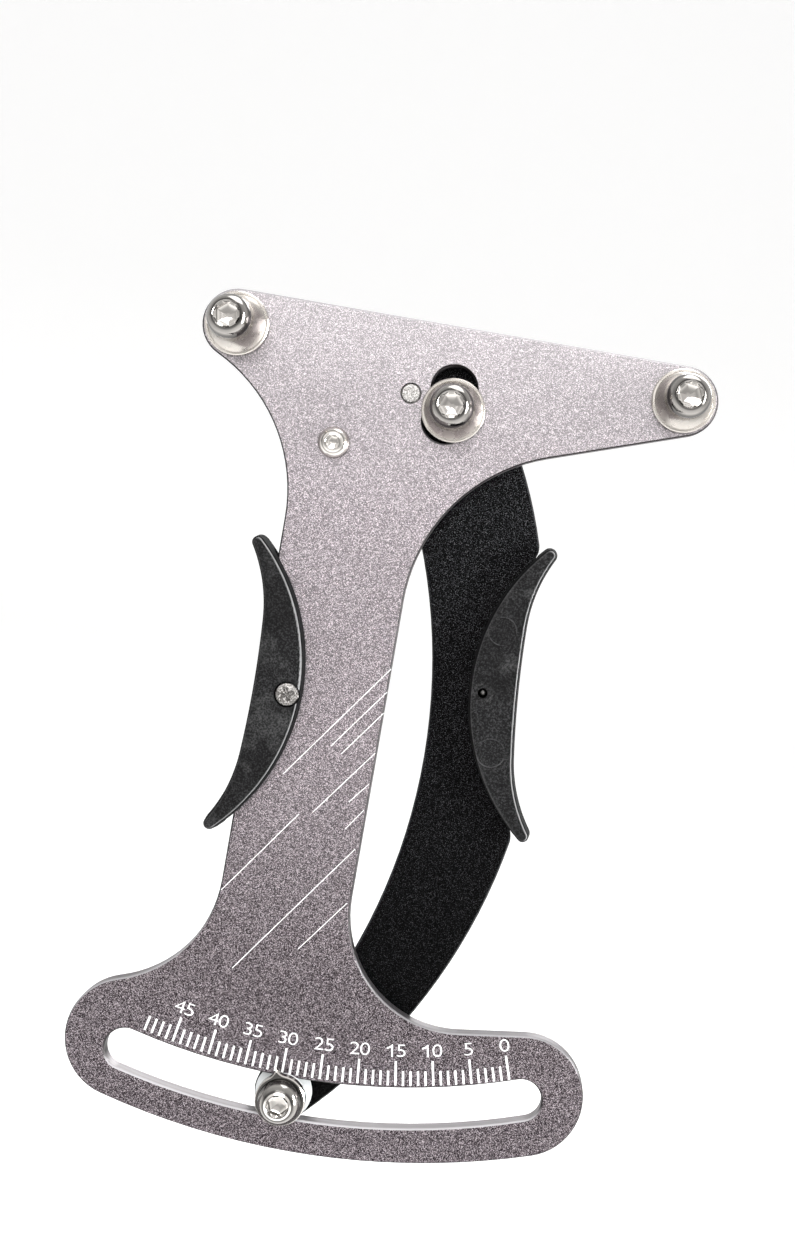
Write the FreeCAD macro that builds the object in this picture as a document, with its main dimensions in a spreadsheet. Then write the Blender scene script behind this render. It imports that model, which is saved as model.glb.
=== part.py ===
import FreeCAD, Part
import math
import os

import Sketcher
from FreeCAD import Placement, Rotation, Vector

# Spoke tension meter, in millimetres, +Z up.
#
# A T-shaped front plate carries two outer posts, and a lever plate behind it carries a
# centre post.  The three posts bend a wire spoke sideways, the return spring presses the
# centre post against it, and the pointer at the foot of the lever shows on a curved scale
# how far the spoke gave way.  Squeezing the two grips frees the spoke.
#
# The origin is where the tool sits on the spoke: X runs along the spoke with X = 0 midway
# between the outer posts, Y = 0 is the plane of the posts' grooves, and Z = 0 is the axis
# of a standard spoke that rests under the outer posts.  The scale faces -Y.

SIZES = [
    # Spoke and posts
    ("spoke_diameter", 2.0, "standard round spoke that the grooves take"),
    ("post_span", 108.5, "between the axes of the outer posts"),
    ("post_flange_diameter", 15.4, "wide foot of a post"),
    ("post_flange_thickness", 1.2, "straight rim of the foot"),
    ("post_rim_width", 0.7, "flat ring round the flare"),
    ("post_rim_bevel", 0.25, "bevel of the foot"),
    ("post_waist_diameter", 10.0, "groove floor, where the spoke bears"),
    ("post_flare_radius", 9.0, "hollow curve between the foot and the waist"),
    ("post_waist_length", 2.4, "straight floor of the groove"),
    ("groove_height", 8.0, "groove plane in front of the front plate"),
    ("post_bore_clearance", 0.05, "screw in its bore, on the radius"),
    ("spigot_diameter", 8.0, "rear of the centre post, in its slot"),
    # Fasteners, metric
    ("m6_diameter", 6.0, "post and pointer screws"),
    ("m6_head_diameter", 10.4, "button head"),
    ("m6_head_height", 3.3, "button head"),
    ("m6_socket_flats", 5.0, "hexagon socket across flats"),
    ("m6_socket_depth", 2.4, "hexagon socket"),
    ("m6_rim_diameter", 6.6, "flat mouth of the socket"),
    ("m6_dome_radius", 4.2, "crown of the button head"),
    ("m6_head_edge", 0.6, "straight edge under the crown"),
    ("socket_dish", 0.4, "depth of the bevel round a socket"),
    ("m6_nut_flats", 10.0, "thin nut across flats"),
    ("m6_nut_height", 3.2, "thin nut"),
    ("m6_washer_diameter", 11.8, "plain washer"),
    ("m6_washer_thickness", 1.0, "plain washer"),
    ("nut_chamfer", 0.5, "bevel of the nuts"),
    ("screw_tip", 0.6, "screw end past its nut"),
    ("m4_diameter", 4.0, "spring anchor screw"),
    ("m4_head_diameter", 7.6, "button head"),
    ("m4_head_height", 2.2, "button head"),
    ("m4_socket_flats", 2.5, "hexagon socket across flats"),
    ("m4_socket_depth", 1.3, "hexagon socket"),
    ("m4_rim_diameter", 3.6, "flat mouth of the socket"),
    ("m4_dome_radius", 3.0, "crown of the button head"),
    ("m4_head_edge", 0.4, "straight edge under the crown"),
    ("m4_length", 7.0, "under the head"),
    # Front plate
    ("plate_thickness", 3.0, "front plate and lever plate"),
    ("arm_end_radius", 8.5, "round ends of the cross arm"),
    ("arm_slope", 18.9, "degrees, lower edge of the arm's right half"),
    ("stem_width", 31.4, "between the straight sides of the stem"),
    ("stem_offset", 9.1, "stem's middle to the left of the pivot"),
    ("arm_fillet_left", 40.0, "hollow between left post and stem"),
    ("arm_fillet_right", 42.0, "hollow between arm and stem"),
    ("foot_fillet_left", 28.8, "hollow between stem and foot, left"),
    ("foot_fillet_right", 27.2, "hollow between stem and foot, right"),
    ("foot_rim", 7.95, "plate below the scale slot"),
    ("foot_end_radius", 14.5, "round ends of the foot"),
    ("foot_centre_right", 2.7, "centre of the foot's rim, right of the pivot"),
    ("foot_centre_rise", 2.1, "centre of the foot's rim, above the pivot"),
    ("foot_left_angle", 14.8, "degrees, left end about the rim's centre"),
    ("foot_right_angle", 17.8, "degrees, right end about the rim's centre"),
    ("foot_slope", 7.5, "degrees, upper edge of the foot's right end"),
    ("scale_slot_radius", 171.6, "middle of the scale slot, about the pivot"),
    ("scale_slot_width", 9.7, "scale slot"),
    ("scale_slot_left_angle", 13.8, "degrees, slot end left of straight down"),
    ("scale_slot_right_angle", 18.7, "degrees, slot end right of straight down"),
    ("plate_bevel", 0.4, "broken front edges of both plates"),
    # Pivot
    ("pivot_drop", 9.3, "pivot below the outer posts"),
    ("pivot_offset", 10.4, "pivot to the left of mid-span"),
    ("pivot_pin_diameter", 5.0, "flush pivot pin"),
    ("running_clearance", 0.05, "pin in the lever, on the radius"),
    ("plate_gap", 0.6, "air between the two plates"),
    ("pivot_washer_gap", 0.3, "pivot's washers beside the centre post and its slot"),
    ("pivot_washer_thickness", 0.8, "washer behind the lever"),
    ("clip_gap", 0.43, "retaining ring beside the centre post's nut"),
    ("clip_thickness", 0.8, "retaining ring"),
    ("clip_groove_depth", 0.5, "groove in the pin"),
    ("clip_mouth", 3.6, "open side of the retaining ring"),
    ("pin_tail", 1.0, "pin past the retaining ring"),
    # Centre post and its slot
    ("centre_post_radius", 11.0, "centre post from the pivot"),
    ("centre_post_angle", 12.7, "degrees below the horizontal, at rest"),
    ("centre_slot_inset", 0.5, "slot's middle inside the post's circle"),
    ("centre_slot_width", 10.8, "slot for the centre post"),
    ("centre_slot_top_angle", 16.5, "degrees above the horizontal, slot end"),
    ("centre_slot_bottom_angle", 29.5, "degrees below the horizontal, slot end"),
    ("centre_post_clearance", 0.3, "flange in front of the front plate"),
    # Lever plate
    ("lever_head_radius", 17.3, "round head about the pivot"),
    ("lever_shoulder_radius", 112.0, "outer edge above the grip"),
    ("lever_sweep_radius", 135.0, "outer edge below the grip"),
    ("lever_inner_reach", 17.8, "inner edge's furthest point right of the pivot"),
    ("lever_inner_share", 0.503, "furthest point's share of the way to the pointer"),
    ("lever_end_radius", 7.2, "round end about the pointer screw"),
    ("lever_neck_fillet", 8.0, "between head and inner edge"),
    ("lever_corner_radius", 3.0, "the corners beside the grip"),
    # Pointer
    ("pointer_angle", 0.6, "degrees left of straight down, at rest"),
    ("pointer_diameter", 12.0, "round part of the pointer"),
    ("pointer_thickness", 1.6, "pointer"),
    ("pointer_bevel", 0.25, "bevelled front edge"),
    ("pointer_reach", 7.7, "tip from the screw's axis"),
    ("pointer_tip_hollow", 3.2, "radius of the hollow sides of the tip"),
    ("pointer_turn", 16.6, "degrees, tip to the left of the line to the pivot"),
    ("bush_flange_lap", 1.0, "nylon bush over the plate beside the slot"),
    ("bush_flange_thickness", 0.8, "nylon bush"),
    ("bush_clearance", 0.25, "nylon bush in the scale slot, on the radius"),
    ("bush_face_clearance", 0.1, "nylon bush in front of the plate"),
    ("glide_lap", 2.0, "nylon washer behind the plate beside the slot"),
    # Spring
    ("anchor_left", 16.2, "plate anchor left of the pivot"),
    ("anchor_drop", 14.8, "plate anchor below the pivot"),
    ("hitch_edge", 3.3, "lever anchor from the rim of the lever's head"),
    ("hitch_angle", 34.8, "degrees above the horizontal, left of the pivot, at rest"),
    ("spring_diameter", 6.2, "over the coils"),
    ("spring_wire", 1.1, "wire diameter"),
    ("spring_turns", 8.5, "coils"),
    ("spring_face_gap", 0.5, "coils behind the lever plate"),
    ("spring_post_diameter", 6.0, "collar of a spring post"),
    ("spring_post_lip", 1.2, "rear collar of a spring post"),
    ("spring_eye_play", 0.1, "eye round its neck and in its groove"),
    ("spring_eye_opening", 20.0, "degrees, free end of an eye from its top"),
    ("hitch_stem_diameter", 3.4, "rivet end of the lever's spring post"),
    # Grips
    ("grip_inner_radius", 48.6, "bulging side of the crescent"),
    ("grip_outer_radius", 250.0, "hollow side at its middle, where the hand presses"),
    ("grip_curl_start", 16.0, "hollow side curls from here on, from its middle"),
    ("grip_width", 12.15, "crescent at its middle"),
    ("grip_reach", 35.8, "horns of the crescent from its middle"),
    ("grip_tip_radius", 1.85, "horns of the crescent"),
    ("grip_cover", 3.1, "moulding in front of or behind its plate"),
    ("grip_draft", 6.0, "degrees, mould draft of the sides"),
    ("grip_edge_radius", 0.8, "softened outer rim"),
    ("grip_rebate_clearance", 0.2, "moulding round the plate's edge"),
    ("notch_radius", 92.3, "plate's hollow edge inside a grip"),
    ("notch_depth", 7.0, "plate's hollow edge from the grip's bulge"),
    ("left_grip_reach", 13.1, "left grip's bulge left of the pivot"),
    ("left_grip_drop", 75.3, "left grip's middle below the pivot"),
    ("right_grip_reach", 25.7, "right grip's bulge right of the pivot, at rest"),
    ("right_grip_drop", 67.7, "right grip's middle below the pivot, at rest"),
    ("right_grip_tilt", 4.15, "degrees, right grip's lower horn outwards"),
    ("lever_land", 1.5, "lever's straight side beyond each end of its hollow"),
    ("lever_land_depth", 13.7, "lever's straight side from the grip's bulge"),
    ("grip_screw_inset", 3.5, "grip screw from the grip's bulge"),
    ("grip_screw_drop", 0.6, "grip screw below the grip's middle"),
    ("grip_screw_diameter", 3.0, "grip screw"),
    ("grip_screw_head_diameter", 5.6, "pan head"),
    ("grip_screw_head_height", 1.7, "pan head"),
    ("grip_screw_recess", 6.2, "counterbore for the pan head"),
    ("grip_screw_sink", 0.2, "pan head below the moulding's face"),
    ("grip_pin_hole", 2.4, "hole over the screw's end"),
    ("grip_pin_web", 1.4, "moulding over the screw's end"),
    ("ejector_mark_diameter", 6.8, "round ejector marks"),
    ("ejector_mark_offset", 14.7, "ejector marks from the grip's middle"),
    ("ejector_mark_inset", 6.8, "ejector marks from the grip's bulge"),
    ("ejector_mark_depth", 0.12, "round ejector marks"),
]

doc = FreeCAD.newDocument("SpokeTensionMeter")
sheet = doc.addObject("Spreadsheet::Sheet", "Sizes")


class Size:
    """A number together with the spreadsheet formula that gives it."""

    def __init__(self, value, formula):
        self.value = float(value)
        self.formula = formula

    def _join(self, sign, other, value):
        return Size(value, f"({self.formula} {sign} {as_size(other).formula})")

    def __add__(self, other):
        return self._join("+", other, self.value + as_size(other).value)

    def __sub__(self, other):
        return self._join("-", other, self.value - as_size(other).value)

    def __mul__(self, other):
        return self._join("*", other, self.value * as_size(other).value)

    def __truediv__(self, other):
        return self._join("/", other, self.value / as_size(other).value)

    def __neg__(self):
        return Size(-self.value, f"(0 - {self.formula})")

    def root(self):
        return Size(math.sqrt(self.value), f"sqrt({self.formula})")


def as_size(number):
    """A Size as it is, or a plain number as a Size with a constant formula."""
    if isinstance(number, Size):
        return number
    return Size(number, repr(float(number)))


def cosine(degrees):
    return Size(math.cos(math.radians(degrees.value)), f"cos({degrees.formula})")


def sine(degrees):
    return Size(math.sin(math.radians(degrees.value)), f"sin({degrees.formula})")


class SizeTable:
    """The sheet's sizes by name, such as size.plate_thickness."""


size = SizeTable()
for row, (alias, number, meaning) in enumerate(SIZES, start=1):
    sheet.set(f"A{row}", alias)
    sheet.set(f"B{row}", str(number))
    sheet.set(f"C{row}", meaning)
    sheet.setAlias(f"B{row}", alias)
    setattr(size, alias, Size(number, f"Sizes.{alias}"))
doc.recompute()

# Places that several pieces share.  Depths run along +Y, away from the reader.
ZERO = as_size(0)
post_x = size.post_span / 2
post_z = size.post_waist_diameter / 2 + size.spoke_diameter / 2
pivot_x = -size.pivot_offset
pivot_z = post_z - size.pivot_drop
plate_front = size.groove_height
plate_back = plate_front + size.plate_thickness
lever_front = plate_back + size.plate_gap
lever_back = lever_front + size.plate_thickness
centre_post_x = pivot_x + size.centre_post_radius * cosine(size.centre_post_angle)
centre_post_z = pivot_z - size.centre_post_radius * sine(size.centre_post_angle)
pointer_x = pivot_x - size.scale_slot_radius * sine(size.pointer_angle)
pointer_z = pivot_z - size.scale_slot_radius * cosine(size.pointer_angle)
anchor_x = pivot_x - size.anchor_left
anchor_z = pivot_z - size.anchor_drop
hitch_radius = size.lever_head_radius - size.hitch_edge
hitch_x = pivot_x - hitch_radius * cosine(size.hitch_angle)
hitch_z = pivot_z + hitch_radius * sine(size.hitch_angle)
spring_bend = size.spring_wire
spring_front = lever_back + size.spring_face_gap
spring_plane = spring_front + size.spring_diameter / 2 - spring_bend
stem_left_x = pivot_x - size.stem_offset - size.stem_width / 2
stem_right_x = pivot_x - size.stem_offset + size.stem_width / 2
left_grip_x = pivot_x - size.left_grip_reach
left_grip_z = pivot_z - size.left_grip_drop
right_grip_x = pivot_x + size.right_grip_reach
right_grip_z = pivot_z - size.right_grip_drop
grip_depth = size.plate_thickness / 2 + size.grip_cover
grip_far = size.grip_width + size.grip_outer_radius
notch_far = size.notch_depth + size.notch_radius
notch_rise = notch_far - size.lever_land_depth
notch_half = (size.notch_radius * size.notch_radius - notch_rise * notch_rise).root()
foot_x = pivot_x + size.foot_centre_right
foot_z = pivot_z + size.foot_centre_rise
scale_slot_foot = size.scale_slot_radius + size.scale_slot_width / 2
foot_outer_radius = scale_slot_foot + size.foot_rim + size.foot_centre_rise
m6_bore_radius = size.m6_diameter / 2 + size.post_bore_clearance
m4_bore_radius = size.m4_diameter / 2 + size.post_bore_clearance
grip_bore_radius = size.grip_screw_diameter / 2 + size.post_bore_clearance

# Which point of a sketched edge a rule holds.
START, CENTRE = 1, 3

NODES = []


# ---------------------------------------------------------------- sketch helpers


def bind(target, name, value):
    """Set a property from a Size, and keep it tied to the sheet."""
    target.setExpression(name, as_size(value).formula)


def place(node, x=ZERO, y=ZERO, z=ZERO):
    for axis, value in (("x", x), ("y", y), ("z", z)):
        bind(node, f"Placement.Base.{axis}", value)


def keep(node):
    """Note a finished sub-part, to be checked and written."""
    NODES.append(node)
    return node


def new_body(label):
    body = doc.addObject("PartDesign::Body", label)
    body.Label = label
    return body


def new_sketch(body, name, role, offset=ZERO):
    """A sketch on one of the body's own origin planes, moved along the plane's normal."""
    sketch = body.newObject("Sketcher::SketchObject", f"{body.Name}_{name}")
    plane = next(item for item in body.Origin.OriginFeatures if item.Role == role)
    sketch.AttachmentSupport = [(plane, "")]
    sketch.MapMode = "FlatFace"
    bind(sketch, "AttachmentOffset.Base.z", offset)
    return sketch


def face_sketch(body, name, depth=ZERO):
    """A sketch seen from the front, at a depth along +Y; its axes are X and Z."""
    return new_sketch(body, name, "XZ_Plane", -depth)


def half_sketch(body, name):
    """A half section for turning about the Y axis: radius across, depth up."""
    return new_sketch(body, name, "XY_Plane")


def pin_point(sketch, edge, end, x, y):
    """Hold a point of an edge at sheet-driven coordinates."""
    for kind, axis, value in (("DistanceX", -2, x), ("DistanceY", -1, y)):
        if value is None:
            continue
        if as_size(value).value == 0.0:
            sketch.addConstraint(Sketcher.Constraint("PointOnObject", edge, end, axis))
            continue
        rule = Sketcher.Constraint(kind, -1, 1, edge, end, as_size(value).value)
        index = sketch.addConstraint(rule)
        bind(sketch, f"Constraints[{index}]", value)


def pin_radius(sketch, edge, radius):
    index = sketch.addConstraint(Sketcher.Constraint("Radius", edge, radius.value))
    bind(sketch, f"Constraints[{index}]", radius)


def circle(sketch, radius, x=ZERO, y=ZERO):
    centre = Vector(x.value, y.value, 0)
    edge = sketch.addGeometry(Part.Circle(centre, Vector(0, 0, 1), radius.value))
    pin_radius(sketch, edge, radius)
    pin_point(sketch, edge, CENTRE, x, y)
    return edge


def arc_edge(centre, radius, start, finish, turn):
    """An arc from start to finish, turning left (+1) or right (-1)."""
    first, last = (start, finish) if turn > 0 else (finish, start)
    begin = math.atan2(first.y - centre.y, first.x - centre.x)
    end = math.atan2(last.y - centre.y, last.x - centre.x)
    if end <= begin:
        end += 2 * math.pi
    return Part.ArcOfCircle(Part.Circle(centre, Vector(0, 0, 1), radius), begin, end)


def trace(sketch, corners):
    """Draw a closed outline through corners (x, y), each reached by a straight edge, or
    (x, y, radius, turn), each reached by an arc that turns left (+1) or right (-1)."""
    edges = []
    for index, corner in enumerate(corners):
        before = corners[index - 1]
        start = Vector(as_size(before[0]).value, as_size(before[1]).value, 0)
        finish = Vector(as_size(corner[0]).value, as_size(corner[1]).value, 0)
        if len(corner) == 2:
            edge = sketch.addGeometry(Part.LineSegment(start, finish))
            edges.append((edge, 1, 2))
            continue
        radius, turn = corner[2], corner[3]
        chord = finish - start
        rise = math.sqrt(radius.value**2 - (chord.Length / 2) ** 2)
        side = Vector(-chord.y, chord.x, 0).normalize() * turn
        centre = (start + finish) * 0.5 + side * rise
        edge = sketch.addGeometry(arc_edge(centre, radius.value, start, finish, turn))
        pin_radius(sketch, edge, radius)
        edges.append((edge, 1, 2) if turn > 0 else (edge, 2, 1))
    for index, (edge, _, last) in enumerate(edges):
        following, first, _ = edges[(index + 1) % len(edges)]
        sketch.addConstraint(
            Sketcher.Constraint("Coincident", edge, last, following, first)
        )
        pin_point(sketch, edge, last, corners[index][0], corners[index][1])
    return [edge for edge, _, _ in edges]


def hexagon(sketch, flats):
    """A hexagon round the origin by its width across flats, two corners level with it."""
    reach = flats / math.sqrt(3)
    half = reach / 2
    rise = flats / 2
    return trace(sketch, [
        (reach, ZERO),
        (half, rise),
        (-half, rise),
        (-reach, ZERO),
        (-half, -rise),
        (half, -rise),
    ])


def pad(body, sketch, length, draft=None, forward=False):
    """Thicken a sketch away from the reader, or towards the reader."""
    feature = body.newObject("PartDesign::Pad", f"{sketch.Name}_pad")
    feature.Profile = sketch
    feature.Reversed = not forward
    bind(feature, "Length", length)
    if draft is not None:
        bind(feature, "TaperAngle", draft)
    return feature


def pocket(body, sketch, depth=None, forward=False):
    """Cut a sketch away from the reader, to a depth or right through."""
    feature = body.newObject("PartDesign::Pocket", f"{sketch.Name}_cut")
    feature.Profile = sketch
    feature.Reversed = forward
    if depth is None:
        feature.Type = "ThroughAll"
    else:
        bind(feature, "Length", depth)
    return feature


def turn_body(label, corners):
    """A body turned about the Y axis from a half section of (radius, depth) corners."""
    body = new_body(label)
    sketch = half_sketch(body, "section")
    trace(sketch, corners)
    feature = body.newObject("PartDesign::Revolution", f"{label}_turned")
    feature.Profile = sketch
    feature.ReferenceAxis = (sketch, ["V_Axis"])
    feature.Angle = 360
    return body


def plane_edges(shape, depth):
    """Names of the edges that lie wholly in the plane at a depth."""
    names = []
    for index, edge in enumerate(shape.Edges, start=1):
        box = edge.BoundBox
        if abs(box.YMin - depth) < 1e-4 and abs(box.YMax - depth) < 1e-4:
            names.append(f"Edge{index}")
    return names


# ------------------------------------------------------------- smooth outlines


class Straight:
    """A straight edge of a smooth outline, through a point at an angle in degrees."""

    def __init__(self, point, angle):
        self.point = point
        turn = math.radians(angle)
        self.along = Vector(math.cos(turn), math.sin(turn), 0)

    def foot(self, point):
        return self.point + self.along * (point - self.point).dot(self.along)


class Round:
    """An arc of a smooth outline that turns left (+1) or right (-1)."""

    def __init__(self, centre, radius, turn):
        self.centre = centre
        self.radius = radius
        self.turn = turn


def touch(first, second):
    """The point where two neighbouring edges of a smooth outline touch."""
    if isinstance(first, Straight):
        return first.foot(second.centre)
    if isinstance(second, Straight):
        return second.foot(first.centre)
    between = (second.centre - first.centre).normalize()
    if first.turn == second.turn and first.radius.value > second.radius.value:
        return second.centre + between * second.radius.value
    if first.turn == second.turn:
        return first.centre - between * first.radius.value
    return first.centre + between * first.radius.value


def meet(centre, radius, other, other_radius, side):
    """Where two circles cross, left (+1) or right (-1) of the line between centres."""
    gap = other - centre
    along = (radius**2 - other_radius**2 + gap.Length**2) / (2 * gap.Length)
    across = math.sqrt(radius**2 - along**2)
    unit = Vector(gap).normalize()
    return centre + unit * along + Vector(-unit.y, unit.x, 0) * (across * side)


def smooth_outline(sketch, edges, corners=()):
    """Draw a closed chain of edges, each tangent to the next.  corners lists the indices
    of edges that meet the next one at a point given there instead."""
    base = sketch.GeometryCount
    count = len(edges)
    sharp = dict(corners)
    joints = []
    for index in range(count):
        following = edges[(index + 1) % count]
        joints.append(sharp.get(index) or touch(edges[index], following))
    ends = []
    for index, edge in enumerate(edges):
        start, finish = joints[index - 1], joints[index]
        if isinstance(edge, Straight) and finish.x < start.x:
            sketch.addGeometry(Part.LineSegment(finish, start))
            ends.append((2, 1))
            continue
        if isinstance(edge, Straight):
            sketch.addGeometry(Part.LineSegment(start, finish))
            ends.append((1, 2))
            continue
        shape = arc_edge(edge.centre, edge.radius.value, start, finish, edge.turn)
        sketch.addGeometry(shape)
        pin_radius(sketch, base + index, edge.radius)
        ends.append((1, 2) if edge.turn > 0 else (2, 1))
    for index in range(count):
        following = (index + 1) % count
        kind = "Coincident" if index in sharp else "Tangent"
        rule = Sketcher.Constraint(
            kind, base + index, ends[index][1], base + following, ends[following][0]
        )
        sketch.addConstraint(rule)
    return ends


def pin_slope(sketch, edge, slope):
    """Hold a straight edge at a slope, in degrees, drawn towards the right."""
    rule = Sketcher.Constraint("Angle", edge, math.radians(slope.value))
    index = sketch.addConstraint(rule)
    bind(sketch, f"Constraints[{index}]", slope)


def pin_upright(sketch, edge, x):
    sketch.addConstraint(Sketcher.Constraint("Vertical", edge))
    pin_point(sketch, edge, START, x, None)


def point(x, z):
    return Vector(x.value, z.value, 0)


# --------------------------------------------------------------- front plate


def arc_slot(sketch, radius, width, low, high):
    """A slot round the pivot between two end centres, drawn from its outer wall."""
    centre = point(pivot_x, pivot_z)
    edges = [
        Round(centre, radius + width / 2, 1),
        Round(point(*high), width / 2, 1),
        Round(centre, radius - width / 2, -1),
        Round(point(*low), width / 2, 1),
    ]
    outer, high_end, _, low_end = range(sketch.GeometryCount, sketch.GeometryCount + 4)
    smooth_outline(sketch, edges)
    pin_point(sketch, outer, CENTRE, pivot_x, pivot_z)
    flat = abs(high[0].value - low[0].value) > abs(high[1].value - low[1].value)
    for edge, (x, z) in ((high_end, high), (low_end, low)):
        pin_point(sketch, edge, CENTRE, x if flat else None, None if flat else z)


def about_pivot(radius, right_of_down):
    """A place at a radius from the pivot, at an angle to the right of straight down."""
    across = radius * sine(right_of_down)
    return pivot_x + across, pivot_z - radius * cosine(right_of_down)


def about_foot(radius, right_of_down):
    """The same about the centre of the foot's rim."""
    across = radius * sine(right_of_down)
    return foot_x + across, foot_z - radius * cosine(right_of_down)


def from_horizontal(radius, above):
    """A place at a radius right of the pivot, at an angle above the horizontal."""
    return pivot_x + radius * cosine(above), pivot_z + radius * sine(above)


def front_plate_outline(sketch):
    end_centre_radius = foot_outer_radius - size.foot_end_radius
    left_end = about_foot(end_centre_radius, -size.foot_left_angle)
    right_end = about_foot(end_centre_radius, size.foot_right_angle)
    left_foot, right_foot = point(*left_end), point(*right_end)
    left_post, right_post = point(-post_x, post_z), point(post_x, post_z)
    arm_end = size.arm_end_radius.value
    foot_end = size.foot_end_radius.value
    left_fillet = size.arm_fillet_left.value
    right_fillet = size.arm_fillet_right.value
    left_hollow = size.foot_fillet_left.value
    right_hollow = size.foot_fillet_right.value

    # Each hollow touches a straight side of the stem and one other edge.
    x = stem_left_x.value - left_fillet
    drop = math.sqrt((left_fillet + arm_end) ** 2 - (x - left_post.x) ** 2)
    upper_left = Vector(x, left_post.y - drop, 0)
    x = stem_left_x.value - left_hollow
    rise = math.sqrt((left_hollow + foot_end) ** 2 - (x - left_foot.x) ** 2)
    lower_left = Vector(x, left_foot.y + rise, 0)
    slope = math.radians(size.arm_slope.value)
    arm_normal = Vector(math.sin(slope), -math.cos(slope), 0)
    arm_edge = right_post + arm_normal * arm_end
    x = stem_right_x.value + right_fillet
    across = (x - arm_edge.x) * arm_normal.x - right_fillet
    upper_right = Vector(x, arm_edge.y - across / arm_normal.y, 0)
    slope = math.radians(size.foot_slope.value)
    foot_normal = Vector(-math.sin(slope), math.cos(slope), 0)
    foot_edge = right_foot + foot_normal * foot_end
    x = stem_right_x.value + right_hollow
    across = (x - foot_edge.x) * foot_normal.x - right_hollow
    lower_right = Vector(x, foot_edge.y - across / foot_normal.y, 0)

    edges = {
        "top": Straight(left_post + Vector(0, arm_end, 0), 180),
        "left end": Round(left_post, size.arm_end_radius, 1),
        "upper left": Round(upper_left, size.arm_fillet_left, -1),
        "stem left": Straight(point(stem_left_x, ZERO), 270),
        "lower left": Round(lower_left, size.foot_fillet_left, -1),
        "left foot": Round(left_foot, size.foot_end_radius, 1),
        "rim": Round(point(foot_x, foot_z), foot_outer_radius, 1),
        "right foot": Round(right_foot, size.foot_end_radius, 1),
        "instep": Straight(foot_edge, 180 + size.foot_slope.value),
        "lower right": Round(lower_right, size.foot_fillet_right, -1),
        "stem right": Straight(point(stem_right_x, ZERO), 90),
        "upper right": Round(upper_right, size.arm_fillet_right, -1),
        "arm": Straight(arm_edge, size.arm_slope.value),
        "right end": Round(right_post, size.arm_end_radius, 1),
    }
    smooth_outline(sketch, list(edges.values()))
    index = {name: number for number, name in enumerate(edges)}
    pin_point(sketch, index["left end"], CENTRE, -post_x, post_z)
    pin_upright(sketch, index["stem left"], stem_left_x)
    pin_point(sketch, index["left foot"], CENTRE, left_end[0], None)
    pin_point(sketch, index["rim"], CENTRE, foot_x, foot_z)
    pin_point(sketch, index["right foot"], CENTRE, right_end[0], None)
    pin_slope(sketch, index["instep"], size.foot_slope)
    pin_upright(sketch, index["stem right"], stem_right_x)
    pin_slope(sketch, index["arm"], size.arm_slope)
    pin_point(sketch, index["right end"], CENTRE, post_x, post_z)


def break_edges(body, feature, depth):
    """Bevel all the edges of a plate's face at a depth."""
    doc.recompute()
    bevel = body.newObject("PartDesign::Chamfer", f"{body.Name}_broken_edges")
    bevel.Base = (feature, plane_edges(feature.Shape, depth.value))
    bind(bevel, "Size", size.plate_bevel)


def make_front_plate():
    body = new_body("front_plate")
    outline = face_sketch(body, "outline", plate_front)
    front_plate_outline(outline)
    pad(body, outline, size.plate_thickness)

    slots = face_sketch(body, "slots", plate_front)
    low = about_pivot(size.scale_slot_radius, -size.scale_slot_left_angle)
    high = about_pivot(size.scale_slot_radius, size.scale_slot_right_angle)
    arc_slot(slots, size.scale_slot_radius, size.scale_slot_width, low, high)
    radius = size.centre_post_radius - size.centre_slot_inset
    low = from_horizontal(radius, -size.centre_slot_bottom_angle)
    high = from_horizontal(radius, size.centre_slot_top_angle)
    arc_slot(slots, radius, size.centre_slot_width, low, high)
    break_edges(body, pocket(body, slots), plate_front)

    holes = face_sketch(body, "holes", plate_front)
    for x in (-post_x, post_x):
        circle(holes, m6_bore_radius, x, post_z)
    pin_hole = size.pivot_pin_diameter / 2 + size.running_clearance
    circle(holes, pin_hole, pivot_x, pivot_z)
    circle(holes, m4_bore_radius, anchor_x, anchor_z)
    circle(holes, grip_bore_radius, *left_grip_screw)
    pocket(body, holes)

    notch = face_sketch(body, "grip_notch", plate_front)
    circle(notch, size.notch_radius, left_grip_x - notch_far, left_grip_z)
    pocket(body, notch)
    return keep(body)


# ---------------------------------------------------------------- lever plate


def on_right_grip(out, up):
    """A place given out from the right grip's bulge and up along its chord."""
    tilt = size.right_grip_tilt
    x = right_grip_x + out * cosine(tilt) - up * sine(tilt)
    return x, right_grip_z + out * sine(tilt) + up * cosine(tilt)


left_grip_screw = left_grip_x - size.grip_screw_inset, left_grip_z - size.grip_screw_drop
right_grip_screw = on_right_grip(size.grip_screw_inset, -size.grip_screw_drop)


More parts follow.
